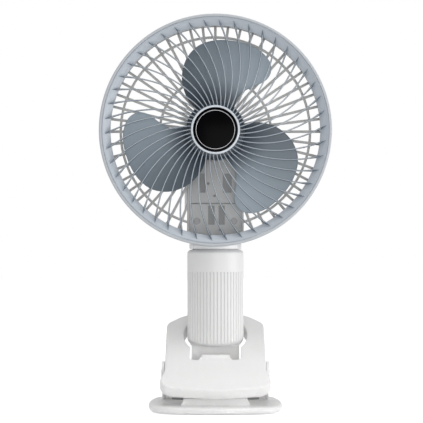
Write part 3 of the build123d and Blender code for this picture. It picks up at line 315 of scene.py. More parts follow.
plastic("white_shell", (0.86, 0.86, 0.856), roughness=0.40, bump=0.015, drift=0.02)
base_profile = rounded_path([(BASE_HALF, BASE_TOP), (0, BASE_TOP), (0, BASE_BOTTOM),
                             (RECESS_SETBACK, BASE_BOTTOM), (RECESS_SETBACK, FOOT_TOP),
                             (BASE_HALF, FOOT_TOP)],
                            [0, BASE_EDGE_ROUND, BASE_EDGE_ROUND, 0.2, 0, 0], steps=8, closed=False)
cheek = plate(cheek_outline(), CHEEK_INNER, CHEEK_OUTER)
gusset = plate(gusset_outline(), BASE_TOP - GUSSET_SINK, BASE_TOP + GUSSET_HEIGHT, order="xyz", edge=0.15)
new_piece("base_plate", "base", "white_shell",
          [stacked_rings(base_profile), cheek, mirrored(cheek), gusset, mirrored(gusset)])


# ---- Jaw block ----
# The lower jaw: a tapered block of soft white elastomer with five grip grooves across its top, welded
# to the base behind its front edge.

JAW_LOW_WIDTH = 54.0
JAW_TOP_WIDTH = 49.0
JAW_TOP = 10.8
JAW_FRONT_Y = -32.0
JAW_BACK_Y = -11.0
JAW_GROOVES = 5
GROOVE_WIDTH = 1.2
GROOVE_DEPTH = 0.8


def jaw_outline():
    """Side view of the jaw block in (y, z): a rectangle with square grooves cut down from its top."""
    points = [(JAW_BACK_Y, BASE_TOP), (JAW_FRONT_Y, BASE_TOP), (JAW_FRONT_Y, JAW_TOP)]
    pitch = (JAW_BACK_Y - JAW_FRONT_Y) / (JAW_GROOVES + 1)
    floor_z = JAW_TOP - GROOVE_DEPTH
    for row in range(JAW_GROOVES):
        middle = JAW_FRONT_Y + pitch * (row + 1)
        before, after = middle - GROOVE_WIDTH / 2, middle + GROOVE_WIDTH / 2
        points += [(before, JAW_TOP), (before, floor_z), (after, floor_z), (after, JAW_TOP)]
    points.append((JAW_BACK_Y, JAW_TOP))
    return rounded_path(points, [0, 0, 0.5] + [0.15] * (4 * JAW_GROOVES) + [0.5], steps=3)


plastic("soft_white", (0.90, 0.90, 0.895), roughness=0.55, grain=0.7, bump=0.04)
jaw_grid = plate(jaw_outline(), -JAW_LOW_WIDTH / 2, JAW_LOW_WIDTH / 2, edge=0.5)
# The block narrows evenly from its foot to its top.
taper = (JAW_LOW_WIDTH - JAW_TOP_WIDTH) / JAW_LOW_WIDTH
jaw_grid[..., 0] *= 1 - taper * (jaw_grid[..., 2] - BASE_TOP) / (JAW_TOP - BASE_TOP)
new_piece("jaw_block", "base", "soft_white", [jaw_grid])


# ---- Hinge axle ----
# A 4 mm steel pin pressed through both cheeks and turning in both lugs. Its ends are peened over, so
# they stand proud of the cheeks as shallow domes.

AXLE_RADIUS = 2.0
AXLE_DOME_RADIUS = 2.35
AXLE_DOME = 0.45
AXLE_SINK = 0.05


def turned_about_axle(profile, sides=48):
    """Surface of revolution on the hinge line: each (x, radius) point swept through a full circle."""
    angle = np.linspace(0, 2 * math.pi, sides, endpoint=False)
    x, radius = np.asarray(profile, float).T[:, :, None]
    return np.stack([x + 0 * angle, HINGE_Y + radius * np.cos(angle), HINGE_Z + radius * np.sin(angle)], -1)


def metal(name, colour, roughness=0.3, grain=1.1):
    """Turned or drawn metal: the skin group's fine noise stands for tool marks in roughness and bump."""
    material = plastic(name, colour, roughness=roughness, grain=grain, bump=0.01, drift=0.12)
    feed(material.node_tree.nodes["Principled BSDF"], {"Metallic": 1.0})
    feed(material.node_tree.nodes["Group"], {"Roughness Drift": 0.15})


metal("steel", (0.55, 0.55, 0.56), roughness=0.28)
dome = arc((CHEEK_OUTER, 0), (AXLE_DOME, AXLE_DOME_RADIUS), 0, math.pi / 2, 8)
shoulder = [(CHEEK_OUTER - AXLE_SINK, AXLE_DOME_RADIUS), (CHEEK_OUTER - AXLE_SINK, AXLE_RADIUS)]
axle_half = np.concatenate([dome, shoulder])
axle_profile = np.concatenate([axle_half, axle_half[::-1] * [-1, 1]])
new_piece("hinge_axle", "base", "steel", [turned_about_axle(axle_profile)])


# ---- Clip springs ----
# Two torsion springs of oiled 1.6 mm music wire, wound in six close turns round the axle. One arm of
# each stands on the base, hooked outwards at its foot, and the other lies under the plate.

COIL_MEAN_RADIUS = 4.8
COIL_X = (24.3, 32.3)
COIL_TURNS = 6
COIL_START = 0.9 - math.pi / 2
COIL_SWEEP = 2 * math.pi * COIL_TURNS - 1.0
WIRE_RADIUS = 0.79
SPRING_FOOT_LENGTH = 26.0
SPRING_FOOT_Z = BASE_TOP + 0.8
HOOK_END_X = 35.3
HOOK_SLANT = 4.0


def capped(rings):
    """The same rings with each end closed by a ring drawn in to its middle."""
    ends = [np.broadcast_to(rings[k].mean(0), rings[k].shape)[None] for k in (0, -1)]
    return np.concatenate([ends[0], rings, ends[1]])


def wire(path, across, sides=12):
    """Round wire along a path: at each point a ring in the two directions square to the path. The path
    never runs along the direction across."""
    along = np.gradient(path, axis=0)
    along /= np.linalg.norm(along, axis=1)[:, None]
    up = np.cross(along, across)
    up /= np.linalg.norm(up, axis=1)[:, None]
    side = np.cross(along, up)
    angle = np.linspace(0, 2 * math.pi, sides, endpoint=False)[None, :, None]
    return capped(path[:, None] + WIRE_RADIUS * (np.cos(angle) * up[:, None] + np.sin(angle) * side[:, None]))


def spring_path():
    """Foot arm up to the coil, then the coil as a helix: x grows with the turn, y and z go round."""
    drop = HINGE_Z - SPRING_FOOT_Z - COIL_MEAN_RADIUS
    foot = (COIL_X[0], HINGE_Y + math.sqrt(SPRING_FOOT_LENGTH ** 2 - drop ** 2), SPRING_FOOT_Z)
    turn = np.linspace(0, COIL_SWEEP, 44 * COIL_TURNS)
    round_axle = (HINGE_Y, HINGE_Z) + COIL_MEAN_RADIUS * rays(COIL_START - turn)
    coil = np.concatenate([np.interp(turn, [0, COIL_SWEEP], COIL_X)[:, None], round_axle], -1)
    return np.concatenate([np.linspace(foot, coil[0], 16, endpoint=False), coil])


metal("spring_steel", (0.34, 0.34, 0.35), grain=0.6)
coil_path = spring_path()
hook_end = (HOOK_END_X, coil_path[0, 1] + HOOK_SLANT, SPRING_FOOT_Z)
hook_path = np.linspace(coil_path[0], hook_end, 12)
for node, hand in (("clip_spring_right", 1), ("clip_spring_left", -1)):
    way = np.array([hand, 1, 1])
    grids = [wire(coil_path * way, (1.0, 0.0, 0.0)), wire(hook_path * way, (0.0, 0.0, 1.0))]
    new_piece(node, "base", "spring_steel", grids)


# ---- Clip plate ----
# The sloping upper jaw and squeeze plate: a white ABS shell, open below, with a flared lip, an upright
# opening that the stem stands in, and two lugs that turn on the axle between the base's cheeks.

PLATE_TILT = math.radians(29.9)
LIP_Y = -43.0
LIP_Z = 18.4
PLATE_DEPTH = 8.4
PLATE_SKIN = 2.6
PLATE_WALL = 2.2
PLATE_HALF_WIDTH = 40.0
LIP_HALF_WIDTH = 43.5
LIP_CORNER = 12.0
LIP_BOW = 3.0
FLARE_END = 27.0
FLARE_ROUND = 18.0
PLATE_SIDE_LENGTH = 96.0
PLATE_LENGTH = 114.5
PLATE_CORNER = 9.0
STEM_Y = 26.0
HOLE_RADIUS = 25.9
NOTCH_HALF_WIDTH = 20.3
NOTCH_FRONT_Y = -6.4
NOTCH_CORNER = 4.0
TONGUE_HALF_WIDTH = 13.6
TONGUE_TAPER = 1.9
TONGUE_LENGTH = 4.0
HAIR = 0.01
TAB_HALF_WIDTH = 11.6
TAB_TAPER = 0.3
TAB_Y = (-4.6, -2.5)
TAB_Z = (39.2, 43.0)
LUG_RADIUS = 6.5
LUG_INNER = 35.0
LUG_OUTER = PLATE_HALF_WIDTH - 0.2
PLATE_COLUMNS = 960
PLATE_EDGE_ROUND = 1.3
OPENING_ROUND = 0.8
INSIDE_ROUND = 0.6


def arc_through(start, middle, end, steps):
    """Points on the circle through three points, from the first to the last. Its centre is as far from one
    as from another, which makes two linear equations in the two chords from the first."""
    start, middle, end = np.array([start, middle, end], float)
    chords = np.array([middle - start, end - start])
    centre = start + np.linalg.solve(2 * chords, np.sum(chords ** 2, axis=1))
    first, at_middle, at_end = (math.atan2(y, x) for x, y in (start - centre, middle - centre, end - centre))
    turn = (at_end - first) % (2 * math.pi)
    if (at_middle - first) % (2 * math.pi) > turn:
        turn -= 2 * math.pi
    return arc(centre, np.linalg.norm(start - centre), first, first + turn, steps)


def plate_half_outline():
    """Right half of the plate's outline in its own plane (across, up the slope), from lip to back. The
    back arc's first few points make way for its rounded corner."""
    corner_x, corner_y = LIP_HALF_WIDTH - LIP_CORNER, LIP_BOW + LIP_CORNER
    lip = arc_through((-corner_x, LIP_BOW), (0, 0), (corner_x, LIP_BOW), 61)[30:]
    lip_corner = arc((corner_x, corner_y), LIP_CORNER, -math.pi / 2, 0, 30)
    straight = (PLATE_HALF_WIDTH, (FLARE_END + PLATE_SIDE_LENGTH) / 2)
    flare = rounded_path([(LIP_HALF_WIDTH, corner_y), (PLATE_HALF_WIDTH, FLARE_END), straight],
                         [0, FLARE_ROUND, 0], 10, False)
    back = arc_through((PLATE_HALF_WIDTH, PLATE_SIDE_LENGTH), (0, PLATE_LENGTH),
                       (-PLATE_HALF_WIDTH, PLATE_SIDE_LENGTH), 81)[:41]
    past = 12
    corner = rounded_path([straight, back[0], back[past]], [0, PLATE_CORNER, 0], 14, False)
    return np.concatenate([lip, lip_corner[1:], flare[1:-1], corner[1:-1], back[past:]])


def by_angle(outline, centre, angles):
    """Points of a closed outline in the directions given by angles about a centre inside it."""
    offset = np.concatenate([outline, outline[:1]]) - centre
    share = np.linspace(0, 1, 9)[:-1, None]
    dense = (offset[:-1, None] * (1 - share) + offset[1:, None] * share).reshape(-1, 2)
    angle = np.arctan2(dense[:, 1], dense[:, 0])
    order = np.argsort(angle)
    reach = np.interp(angles, angle[order], np.hypot(*dense.T)[order], period=2 * math.pi)
    return centre + reach[:, None] * rays(angles)


def hole_outline(margin, angles, tongue):
    """Plan (x, y) of the stem opening: the farther of a circle and a notch with round front corners, less
    the thumb tongue that stands into the notch from its front. A tongue of a hair's length keeps the count
    of points where there is no tongue."""
    centre = np.array([0.0, STEM_Y])
    side = NOTCH_HALF_WIDTH + margin
    front = NOTCH_FRONT_Y - margin
    foot, tip = TONGUE_HALF_WIDTH - margin, TONGUE_HALF_WIDTH - TONGUE_TAPER - margin
    corner = NOTCH_CORNER + margin
    notch = rounded_path([(side, STEM_Y), (-side, STEM_Y), (-side, front), (-foot, front),
                          (-tip, front + tongue), (tip, front + tongue), (foot, front), (side, front)],
                         [0, 0, corner, 0.3, 0.6, 0.6, 0.3, corner], 10)
    across = by_angle(notch + [0, HAIR], centre, angles) - centre
    round_reach = HOLE_RADIUS + margin
    reach = np.where(np.sin(angles) > 0, round_reach, np.maximum(np.hypot(*across.T), round_reach))
    return centre + reach[:, None] * rays(angles)


def on_slope(across, up, height):
    """World points for plane coordinates: across, up the slope and height above the plate's top."""
    up, height = np.broadcast_arrays(up, height)
    y = LIP_Y + up * math.cos(PLATE_TILT) - height * math.sin(PLATE_TILT)
    z = LIP_Z + up * math.sin(PLATE_TILT) + height * math.cos(PLATE_TILT)
    return np.stack([np.broadcast_to(across, y.shape), y, z], -1)


def plate_shell_grid():
    """Closed section run round the plate: up the opening's upright wall, across the top, down the outer
    wall, and back along the inside. Outline and opening are matched by their angle about the opening."""
    angles = np.linspace(-math.pi, math.pi, PLATE_COLUMNS, endpoint=False)
    half = plate_half_outline()
    whole = np.concatenate([half, half[::-1][1:-1] * [-1, 1]])
    middle = np.array([0.0, (STEM_Y - LIP_Y) / math.cos(PLATE_TILT)])
    outer = by_angle(whole, middle, angles)
    outer_normals = path_normals(outer, 2)
    floor_z, under_z = -PLATE_DEPTH, -PLATE_SKIN

    def opening(margin, height, tongue=HAIR):
        plan = hole_outline(margin, angles, tongue)
        up = (plan[:, 1] - LIP_Y + height * math.sin(PLATE_TILT)) / math.cos(PLATE_TILT)
        return on_slope(plan[:, 0], up, height)

    def edge(inset, height):
        ring = outer - inset * outer_normals
        return on_slope(ring[:, 0], ring[:, 1], height)

    rows = [opening(0, floor_z), opening(0, under_z), opening(0, under_z, TONGUE_LENGTH)]
    for turn in np.linspace(0, math.pi / 2, 5):
        rows.append(opening(OPENING_ROUND * (1 - math.cos(turn)), -OPENING_ROUND * (1 - math.sin(turn)),
                            TONGUE_LENGTH))
    rows += [*np.linspace(rows[-1], edge(PLATE_EDGE_ROUND, 0), 10)[1:-1]]
    for turn in np.linspace(0, math.pi / 2, 7):
        rows.append(edge(PLATE_EDGE_ROUND * (1 - math.sin(turn)), -PLATE_EDGE_ROUND * (1 - math.cos(turn))))
    for inset, height in ((0, floor_z + 0.5), (0.15, floor_z + 0.1), (0.5, floor_z), (PLATE_WALL, floor_z),
                          (PLATE_WALL, under_z - INSIDE_ROUND), (PLATE_WALL + INSIDE_ROUND, under_z)):
        rows.append(edge(inset, height))
    rows += [*np.linspace(rows[-1], opening(PLATE_WALL, under_z), 6)[1:], opening(PLATE_WALL, floor_z)]
    return np.stack(rows)


def lug_outline():
    """Side view of a lug in (y, z): a round eye whose sides run up into the underside of the plate."""
    eye = arc((HINGE_Y, HINGE_Z), LUG_RADIUS, math.pi, 2 * math.pi, 25)
    skin = PLATE_SKIN / 2 / math.cos(PLATE_TILT)
    top = [(y, LIP_Z + (y - LIP_Y) * math.tan(PLATE_TILT) - skin)
           for y in (HINGE_Y + LUG_RADIUS, HINGE_Y - LUG_RADIUS)]
    return np.concatenate([eye, top])


lug = plate(lug_outline(), LUG_INNER, LUG_OUTER, edge=0.4)
tab_tip = TAB_HALF_WIDTH - TAB_TAPER
tab_outline = rounded_path([(-TAB_HALF_WIDTH, TAB_Z[0]), (TAB_HALF_WIDTH, TAB_Z[0]), (tab_tip, TAB_Z[1]),
                            (-tab_tip, TAB_Z[1])], [0, 0, 1.3, 1.3])
tab = plate(tab_outline, *TAB_Y, order="xzy", edge=0.45)
clip_grids = [(plate_shell_grid(), True, True), lug, mirrored(lug), tab]
new_piece("clip_plate", "clip", "white_shell", clip_grids, sharp=50)


# ---- Stem tube ----
# The fluted handle, one ABS moulding that holds the cells and the board, with fine flutes down to a
# softly rounded foot. Its holes for the button, the window and the socket are at the back.

STEM_BOTTOM = 48.6
STEM_RADIUS = 23.0
STEM_BORE = 20.8
FLUTE_SHADE_DEPTH = 0.35
FOOT_ROUND = 2.0
FOOT_STRETCH = 2.2
FOOT_BOW = 2.6
NEAR = 0.05


def mesh_copy(node):
    """New object with a copy of a frame node's mesh, in the shared frame."""
    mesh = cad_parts[node].data.copy()
    mesh.transform(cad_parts[node].matrix_world)
    return linked(node + "_visual", mesh)


def vertex_places(piece):
    """Vertex positions of a mesh in millimetres, as an array of rows (x, y, z)."""
    place = np.empty(3 * len(piece.data.vertices), np.float32)
    piece.data.vertices.foreach_get("co", place)
    return place.reshape(-1, 3) / MM


def mixed(tree, share, first, second):
    """Output that blends two colours by a share."""
    return node_output(tree, "Mix", {"Factor": share, "A": first, "B": second}, "Result", data_type="RGBA")


def share_between(tree, value, low, high, **settings):
    """Output that goes from 0 to 1 while a value goes from low to high."""
    return node_output(tree, "MapRange", {"Value": value, "From Min": low, "From Max": high}, **settings)


def tint(material, colour, share):
    """Mix a second colour over a skin material's own, by the share that another node gives."""
    tree = material.node_tree
    blend = mixed(tree, share, tree.nodes["Group"].outputs["Colour"], (*colour, 1))
    feed(tree.nodes["Principled BSDF"], {"Base Color": blend})


def flute_shade_share(tree):
    """How deep in the flutes a point lies, from 0 to 1, by its distance from the stem's axis: the share of
    painted shade in the grooves.
    """
    place = node_output(tree, "TexCoord", {}, "Object")
    centred = node_output(tree, "Mapping", {"Vector": place, "Location": (0, -STEM_Y * MM, 0)})
    flat = node_output(tree, "VectorMath", {0: centred, 1: (1, 1, 0)}, operation="MULTIPLY")
    reach = node_output(tree, "VectorMath", {0: flat}, "Value", operation="LENGTH")
    top = STEM_RADIUS - NEAR
    return share_between(tree, reach, top * MM, (top - FLUTE_SHADE_DEPTH) * MM)


# The flutes are tinted grey by their depth: painted shade in the grooves.
stem_white = plastic("stem_white", (0.86, 0.86, 0.856), roughness=0.40)
tint(stem_white, (0.68, 0.68, 0.68), flute_shade_share(stem_white.node_tree))
stem = mesh_copy("stem_tube")
# Vertices in the round of the foot move up, to FOOT_STRETCH times their height and bow (x / radius)^2 more.
place = vertex_places(stem)
reach = np.hypot(place[:, 0], place[:, 1] - STEM_Y)
height = place[:, 2] - STEM_BOTTOM
low = height < FOOT_ROUND + NEAR
place[:, 2] += np.where(low & (reach > STEM_BORE + NEAR), (FOOT_STRETCH - 1) * height, 0)
place[:, 2] += np.where(low, FOOT_BOW * (place[:, 0] / STEM_RADIUS) ** 2, 0)
stem.data.vertices.foreach_set("co", (place * MM).astype(np.float32).ravel())
stem.data.update()
finish_piece(stem, "stem_tube", "stem", "white_shell", "stem_white")


# ---- Yoke ----
# The forked bracket under the stem, moulded in white glass-filled nylon and screwed up into the tube. A
# thin apron between its legs covers the front of the knuckle that it turns on.

APRON_HALF_WIDTH = 12.6
APRON_Y = (17.75, 18.7)
APRON_Z = (39.6, 43.6)


def rectangle(left, right, low, high):
    """Corners of a rectangle, from the lower left one round by the lower right one."""
    return [(left, low), (right, low), (right, high), (left, high)]


def joined(first, second):
    """Join the second mesh into the first and give the first back."""
    with bpy.context.temp_override(active_object=first, selected_editable_objects=[first, second]):
        bpy.ops.object.join()
    return first


# Its white is lighter than the shell's: painted light that lifts the yoke out of the stem's shade.
plastic("yoke_plastic", (0.93, 0.93, 0.925))
apron_outline = rounded_path(rectangle(*APRON_Y, *APRON_Z), [0.4, 0.3, 0, 0])
apron = surface_object("apron", [plate(apron_outline, -APRON_HALF_WIDTH, APRON_HALF_WIDTH, edge=0.2)])
yoke = joined(mesh_copy("stem_yoke"), apron)
finish_piece(yoke, "stem_yoke", "stem", "yoke_plastic")


# ---- Neck shell ----
# The neck's back half, moulded in white ABS, round behind and open in front, where a panel is screwed to
# it. A low sill closes its front under the rear grille, so that the hollow doesn't show between the
# collar and the rim.

SILL_HALF_WIDTH = 19.2
SILL_Y = (14.65, 15.8)
SILL_Z = (129.5, 134.0)

# Lighter than the shell's white: painted light that lifts the collar out of the head's shade.
plastic("neck_white_painted_light", (0.93, 0.935, 0.94), roughness=0.4)
sill_outline = rounded_path(rectangle(-SILL_HALF_WIDTH, SILL_HALF_WIDTH, *SILL_Z), 0.4)
sill = surface_object("sill", [plate(sill_outline, *SILL_Y, order="xzy", edge=0.1)])
neck = joined(mesh_copy("neck_shell"), sill)
finish_piece(neck, "neck_shell", "head", "white_shell", "neck_white_painted_light")


# ---- Outer rim ----
# The hoop that joins the two grilles: blue-grey ABS with a soft outer edge, moulded in one ring and
# snapped over both grilles.

HUB_Z = 222.7
HEAD_FRONT_Y = -8.0
RIM_RADIUS = 93.2
RIM_INNER = 91.0
RIM_DEPTH = 20.5


def turned_about_hub(profile, sides=288, closed=True):
    """Grid of a profile of (radius, depth behind the head's front) turned about the impeller's axis. The
    profile is closed, or starts and ends on the axis."""
    angle = np.linspace(0, 2 * math.pi, sides, endpoint=False)
    radius, depth = np.asarray(profile, float).T[:, :, None]
    points = [radius * np.cos(angle), HEAD_FRONT_Y + depth + 0 * angle, HUB_Z + radius * np.sin(angle)]
    return np.stack(points, -1), closed, True


plastic("rim_plastic", (0.52, 0.55, 0.585), roughness=0.32, grain=0.3, bump=0.01)
rim_profile = rounded_path([(RIM_INNER, RIM_DEPTH), (RIM_INNER, 0), (RIM_RADIUS, 0), (RIM_RADIUS, RIM_DEPTH)],
                           [0.4, 0.35, 1.1, 0.6])
new_piece("outer_rim", "head", "rim_plastic", [turned_about_hub(rim_profile, 360)])


# ---- Front grille ----
# The guard in blue-grey ABS: a cone-shaped band, a hub ring and 46 thin curved fins between them, all
# one moulding. Each fin starts behind the hub ring and runs out over the band to a fine tip.

RING_OUTER = 90.9
RING_WALL = 1.6
RING_WALL_DEPTH = 8.3
BAND_INNER = 84.2
BAND_BACK_DEPTH = 5.6
HUB_RING_OUTER = 19.7
HUB_RING_INNER = 17.95
HUB_PLATE_DEPTH = 3.2
FIN_COUNT = 46
FIN_ROOT_RADIUS = HUB_RING_OUTER - 0.8
FIN_TIP_RADIUS = 89.4
FIN_FRONT_DEPTH = 1.3
FIN_BACK_DEPTH = 4.6
FIN_ANGLE = (-9.95, 0.486, -0.00095)
FIN_RIDGE = ((20, 0.87), (60, 0.84), (84, 0.66), (89.4, 0.35))
FIN_FOOT = ((20, 0.95), (45, 1.1), (60, 1.2), (80, 1.3), (84, 1.9), (89.4, 0.35))
FIN_SET_BACK = ((20, 0.5), (24, 0.0), (86, 0.0), (89.4, 0.15))
FIN_SIDE = ((0.0, 0.0), (0.12, 0.08), (0.3, 0.3), (0.75, 0.62), (1.0, 1.0))
FLANK_SHADE = ((0.35, 0.0), (1.05, 1.0))
ROOT_SHADE = ((45, 0.65), (70, 1.0))
TIP_SHADE = ((83.8, 0.0), (85.2, 0.9))
BAND_SHADE = ((84.2, 0.0), (86.5, 0.16), (90.2, 0.34))
GRILLE_PAINTED_SHADE = (0.10, 0.138, 0.185)


def read_off(table, place):
    """Values at places in a table of (place, value), straight between its rows and level beyond them."""
    return np.interp(place, *np.array(table).T)


def fin_grids():
    """Fins as a section swept along their curve: angle = a + b r + c r^2 degrees at radius r. The section
    is a narrow rounded ridge whose sides widen to the foot, set across the curve's own direction."""
    radius = np.linspace(FIN_ROOT_RADIUS, FIN_TIP_RADIUS, 34)
    start, turn, ease = np.radians(FIN_ANGLE)
    angle = start + turn * radius + ease * radius ** 2
    across = angle + np.arctan(radius * (turn + 2 * ease * radius)) + math.pi / 2
    front = FIN_FRONT_DEPTH + read_off(FIN_SET_BACK, radius)[:, None]
    foot, ridge = read_off(FIN_FOOT, radius)[:, None], read_off(FIN_RIDGE, radius)[:, None]
    half = np.array(FIN_SIDE)
    side, share = np.concatenate([half[:0:-1] * [-1, 1], half]).T
    width = np.minimum(ridge * np.abs(side) / 0.3, ridge + (foot - ridge) * np.abs(side))
    offset = width * np.sign(side) / 2
    depth = front + share * (FIN_BACK_DEPTH - front)
    grids = []
    for more in 2 * math.pi * np.arange(FIN_COUNT) / FIN_COUNT:
        x = (radius * np.cos(angle + more))[:, None] + offset * np.cos(across + more)[:, None]
        z = (radius * np.sin(angle + more))[:, None] + offset * np.sin(across + more)[:, None]
        grids.append(capped(np.stack([x, HEAD_FRONT_Y + depth, HUB_Z + z], -1)))
    return grids


def tinted_by_shade(material):
    """Paint shade on a grille material: tint it towards its painted shade tone by the vertex attribute called
    shade.
    """
    share = node_output(material.node_tree, "Attribute", {}, "Fac", attribute_name="shade")
    tint(material, GRILLE_PAINTED_SHADE, share)


def hub_places(piece):
    """Depth behind the head's front and distance from the impeller's axis, for each vertex of a piece."""
    x, y, z = vertex_places(piece).T
    return y - HEAD_FRONT_Y, np.hypot(x, z - HUB_Z)


def write_shade(piece, shade):
    """Store a vertex attribute called shade."""
    layer = piece.data.attributes.new("shade", "FLOAT", "POINT")
    layer.data.foreach_set("value", shade.astype(np.float32))


tinted_by_shade(plastic("grille_blue", (0.60, 0.65, 0.71), roughness=0.22, grain=0.3, bump=0.006,
                        specular=0.95))
# The band's blue is a lighter copy of the fins' blue: painted light on the band.
tinted_by_shade(plastic("band_blue", (0.64, 0.69, 0.75), grain=0.3, bump=0.006, specular=0.6))
ring_inside = RING_OUTER - RING_WALL
band_profile = rounded_path([(RING_OUTER, 0.5), (RING_OUTER - 0.7, 0.3), (BAND_INNER, BAND_BACK_DEPTH),
                             (BAND_INNER, RING_WALL_DEPTH), (BAND_INNER + 0.9, RING_WALL_DEPTH),
                             (ring_inside, 3.1), (ring_inside, RING_WALL_DEPTH),
                             (RING_OUTER, RING_WALL_DEPTH)],
                            [0.2, 0.2, 0.4, 0.3, 0.3, 0.3, 0.2, 0.2], steps=4)
hub_profile = rounded_path([(0, HUB_PLATE_DEPTH), (HUB_RING_INNER, HUB_PLATE_DEPTH), (HUB_RING_INNER, 0),
                            (HUB_RING_OUTER, 0), (HUB_RING_OUTER, FIN_BACK_DEPTH), (0, FIN_BACK_DEPTH)],
                           [0, 0.1, 0.45, 0.8, 0.3, 0], steps=5, closed=False)
guard = surface_object("front_grille_visual", [turned_about_hub(hub_profile, closed=False)])
band = surface_object("band", [turned_about_hub(band_profile, 360)])
fins = surface_object("fins", fin_grids(), sharp=60)
# The fins' flanks are painted darker with depth behind the ridge, more so further out, and their tips over
# the band darker still: painted shade on the flanks and the fins' shadows on the band.
depth, radius = hub_places(fins)
flank = read_off(FLANK_SHADE, depth - FIN_FRONT_DEPTH) * read_off(ROOT_SHADE, radius)
write_shade(fins, np.maximum(flank, read_off(TIP_SHADE, radius)))
# The band is tinted darker from its inner edge outwards: painted light towards the inner edge, against the
# shade it lies in there.
write_shade(band, read_off(BAND_SHADE, hub_places(band)[1]))
joined(guard, fins)
finish_piece(guard, "front_grille", "head", "grille_blue")
band.data.materials.append(FINISHES["band_blue"])
joined(guard, band)


# ---- Hub badge ----
# A bare gloss-black acrylic disc with a soft front edge. It is pressed into the hub ring until its back
# lies on the ring's plate, and a fine bright metal ring is let into its face.

BADGE_EDGE = HUB_RING_INNER - 0.1
BADGE_FACE_DEPTH = 0.4

plastic("badge_black", (0.0015, 0.0015, 0.002), roughness=0.16, grain=1.2, bump=0.001, specular=0.02)
badge_profile = rounded_path([(0, BADGE_FACE_DEPTH), (BADGE_EDGE, BADGE_FACE_DEPTH),
                              (BADGE_EDGE, HUB_PLATE_DEPTH), (0, HUB_PLATE_DEPTH)],
                             [0, 0.5, 0.1, 0], closed=False)
new_piece("hub_badge", "head", "badge_black", [turned_about_hub(badge_profile, closed=False)])


# ---- Badge ring ----
# A thin ring of bright-finished aluminium, stamped to a half-round section. Its flat back is bonded a
# little way into the badge's face.

BADGE_RING_RADIUS = 15.5
BADGE_RING_HALF = 0.24
BADGE_RING_SINK = 0.05

metal("badge_silver", (0.55, 0.56, 0.58), roughness=0.35)
ring_section = arc((BADGE_RING_RADIUS, BADGE_FACE_DEPTH + BADGE_RING_SINK), BADGE_RING_HALF,
                   math.pi, 2 * math.pi, 9)
new_piece("badge_ring", "head", "badge_silver", [turned_about_hub(ring_section)])


# ---- Rear grille ----
# The back guard in polypropylene: 52 straight ribs, two hoops, an outer ring in the rim and an arch-shaped
# frame round the neck's panel. Its warm grey is painted shade, standing for white plastic in the head's shade
# behind the front grille. Screws hold the frame to the motor's flange. The ribs have draft and soft front
# edges.

REAR_RIB_COUNT = 52
REAR_RIB_WIDTH = 2.15
REAR_FRONT_DEPTH = 20.0
REAR_BACK_DEPTH = 22.6
REAR_OUTER_INSIDE = 85.4
REAR_WALL_FRONT_DEPTH = 18.6
REAR_HOOPS = (45.1, 76.9)
REAR_HOOP_WIDTH = 2.05
FRAME_INSIDE = 20.8
FRAME_WIDTH = 3.6
ARCH_BITE = 1.5
POST_BITE = 0.9
RING_BITE = 0.6
FACE_STEP = 0.05
BAR_SIDE = (-0.88, -1.0, -0.9, -0.6, 0.6, 0.9, 1.0, 0.88)
BAR_DROP = (0.7, 0.2, 0.0, 0.0, 0.2, 0.7)


def swept_bar(path, width, front, back):
    """Bar along a path of (across, height above the hub): a section with rounded front corners and drafted
    sides, set square to the path at each point."""
    side = np.array(BAR_SIDE)[:, None] * width / 2
    depth = np.array([back, *(front + np.array(BAR_DROP)), back])
    plan = path[:, None] + side * path_normals(path, closed=False)[:, None]
    return capped(np.stack([plan[..., 0], np.broadcast_to(HEAD_FRONT_Y + depth, plan.shape[:2]),
                            HUB_Z + plan[..., 1]], -1))


def rear_grille_grids():
    """Ribs start at the frame, hoops stop at it, and the frame follows the arch of the panel."""
    bars = []
    for angle in 2 * math.pi * np.arange(REAR_RIB_COUNT) / REAR_RIB_COUNT:
        away = rays(angle)
        start = FRAME_INSIDE + ARCH_BITE
        if away[1] < 0:
            start = (FRAME_INSIDE + POST_BITE) / max(abs(away[0]), 1e-6)
        if start < REAR_OUTER_INSIDE - 2:
            reach = np.linspace(start, REAR_OUTER_INSIDE + RING_BITE, 5)
            bars.append(swept_bar(reach[:, None] * away, REAR_RIB_WIDTH, REAR_FRONT_DEPTH, REAR_BACK_DEPTH))
    for radius in REAR_HOOPS:
        gap = math.asin((FRAME_INSIDE + POST_BITE) / radius)
        hoop = arc((0, 0), radius, gap - math.pi / 2, 1.5 * math.pi - gap, 160)
        bars.append(swept_bar(hoop, REAR_HOOP_WIDTH, REAR_FRONT_DEPTH + FACE_STEP,
                              REAR_BACK_DEPTH - 2 * FACE_STEP))
    frame_front = REAR_FRONT_DEPTH - FACE_STEP
    arch = arc((0, 0), FRAME_INSIDE + FRAME_WIDTH / 2, 0, math.pi, 61)
    bars.append(swept_bar(arch, FRAME_WIDTH, frame_front, REAR_BACK_DEPTH))
    low = -math.sqrt(REAR_OUTER_INSIDE ** 2 - FRAME_INSIDE ** 2) - RING_BITE
    for side in (-1, 1):
        x = side * (FRAME_INSIDE + REAR_RIB_WIDTH / 2)
        post = np.linspace((x, 1.0), (x, low), 9)
        bars.append(swept_bar(post, REAR_RIB_WIDTH, frame_front, REAR_BACK_DEPTH))
    return bars


# Warm grey in place of the head's white plastic: painted shade.
plastic("grille_grey", (0.64, 0.64, 0.625), grain=0.4)
back_ring = rounded_path([(REAR_OUTER_INSIDE, REAR_FRONT_DEPTH), (ring_inside, REAR_FRONT_DEPTH),
                          (ring_inside, REAR_WALL_FRONT_DEPTH), (RING_OUTER, REAR_WALL_FRONT_DEPTH),
                          (RING_OUTER, REAR_BACK_DEPTH - 1.2), (RING_OUTER - 1.2, REAR_BACK_DEPTH),
                          (REAR_OUTER_INSIDE, REAR_BACK_DEPTH)],
                         [0.4, 0, 0.2, 0.2, 0.5, 0.5, 0.5], steps=4)
new_piece("rear_grille", "head", "grille_grey", [turned_about_hub(back_ring), *rear_grille_grids()])
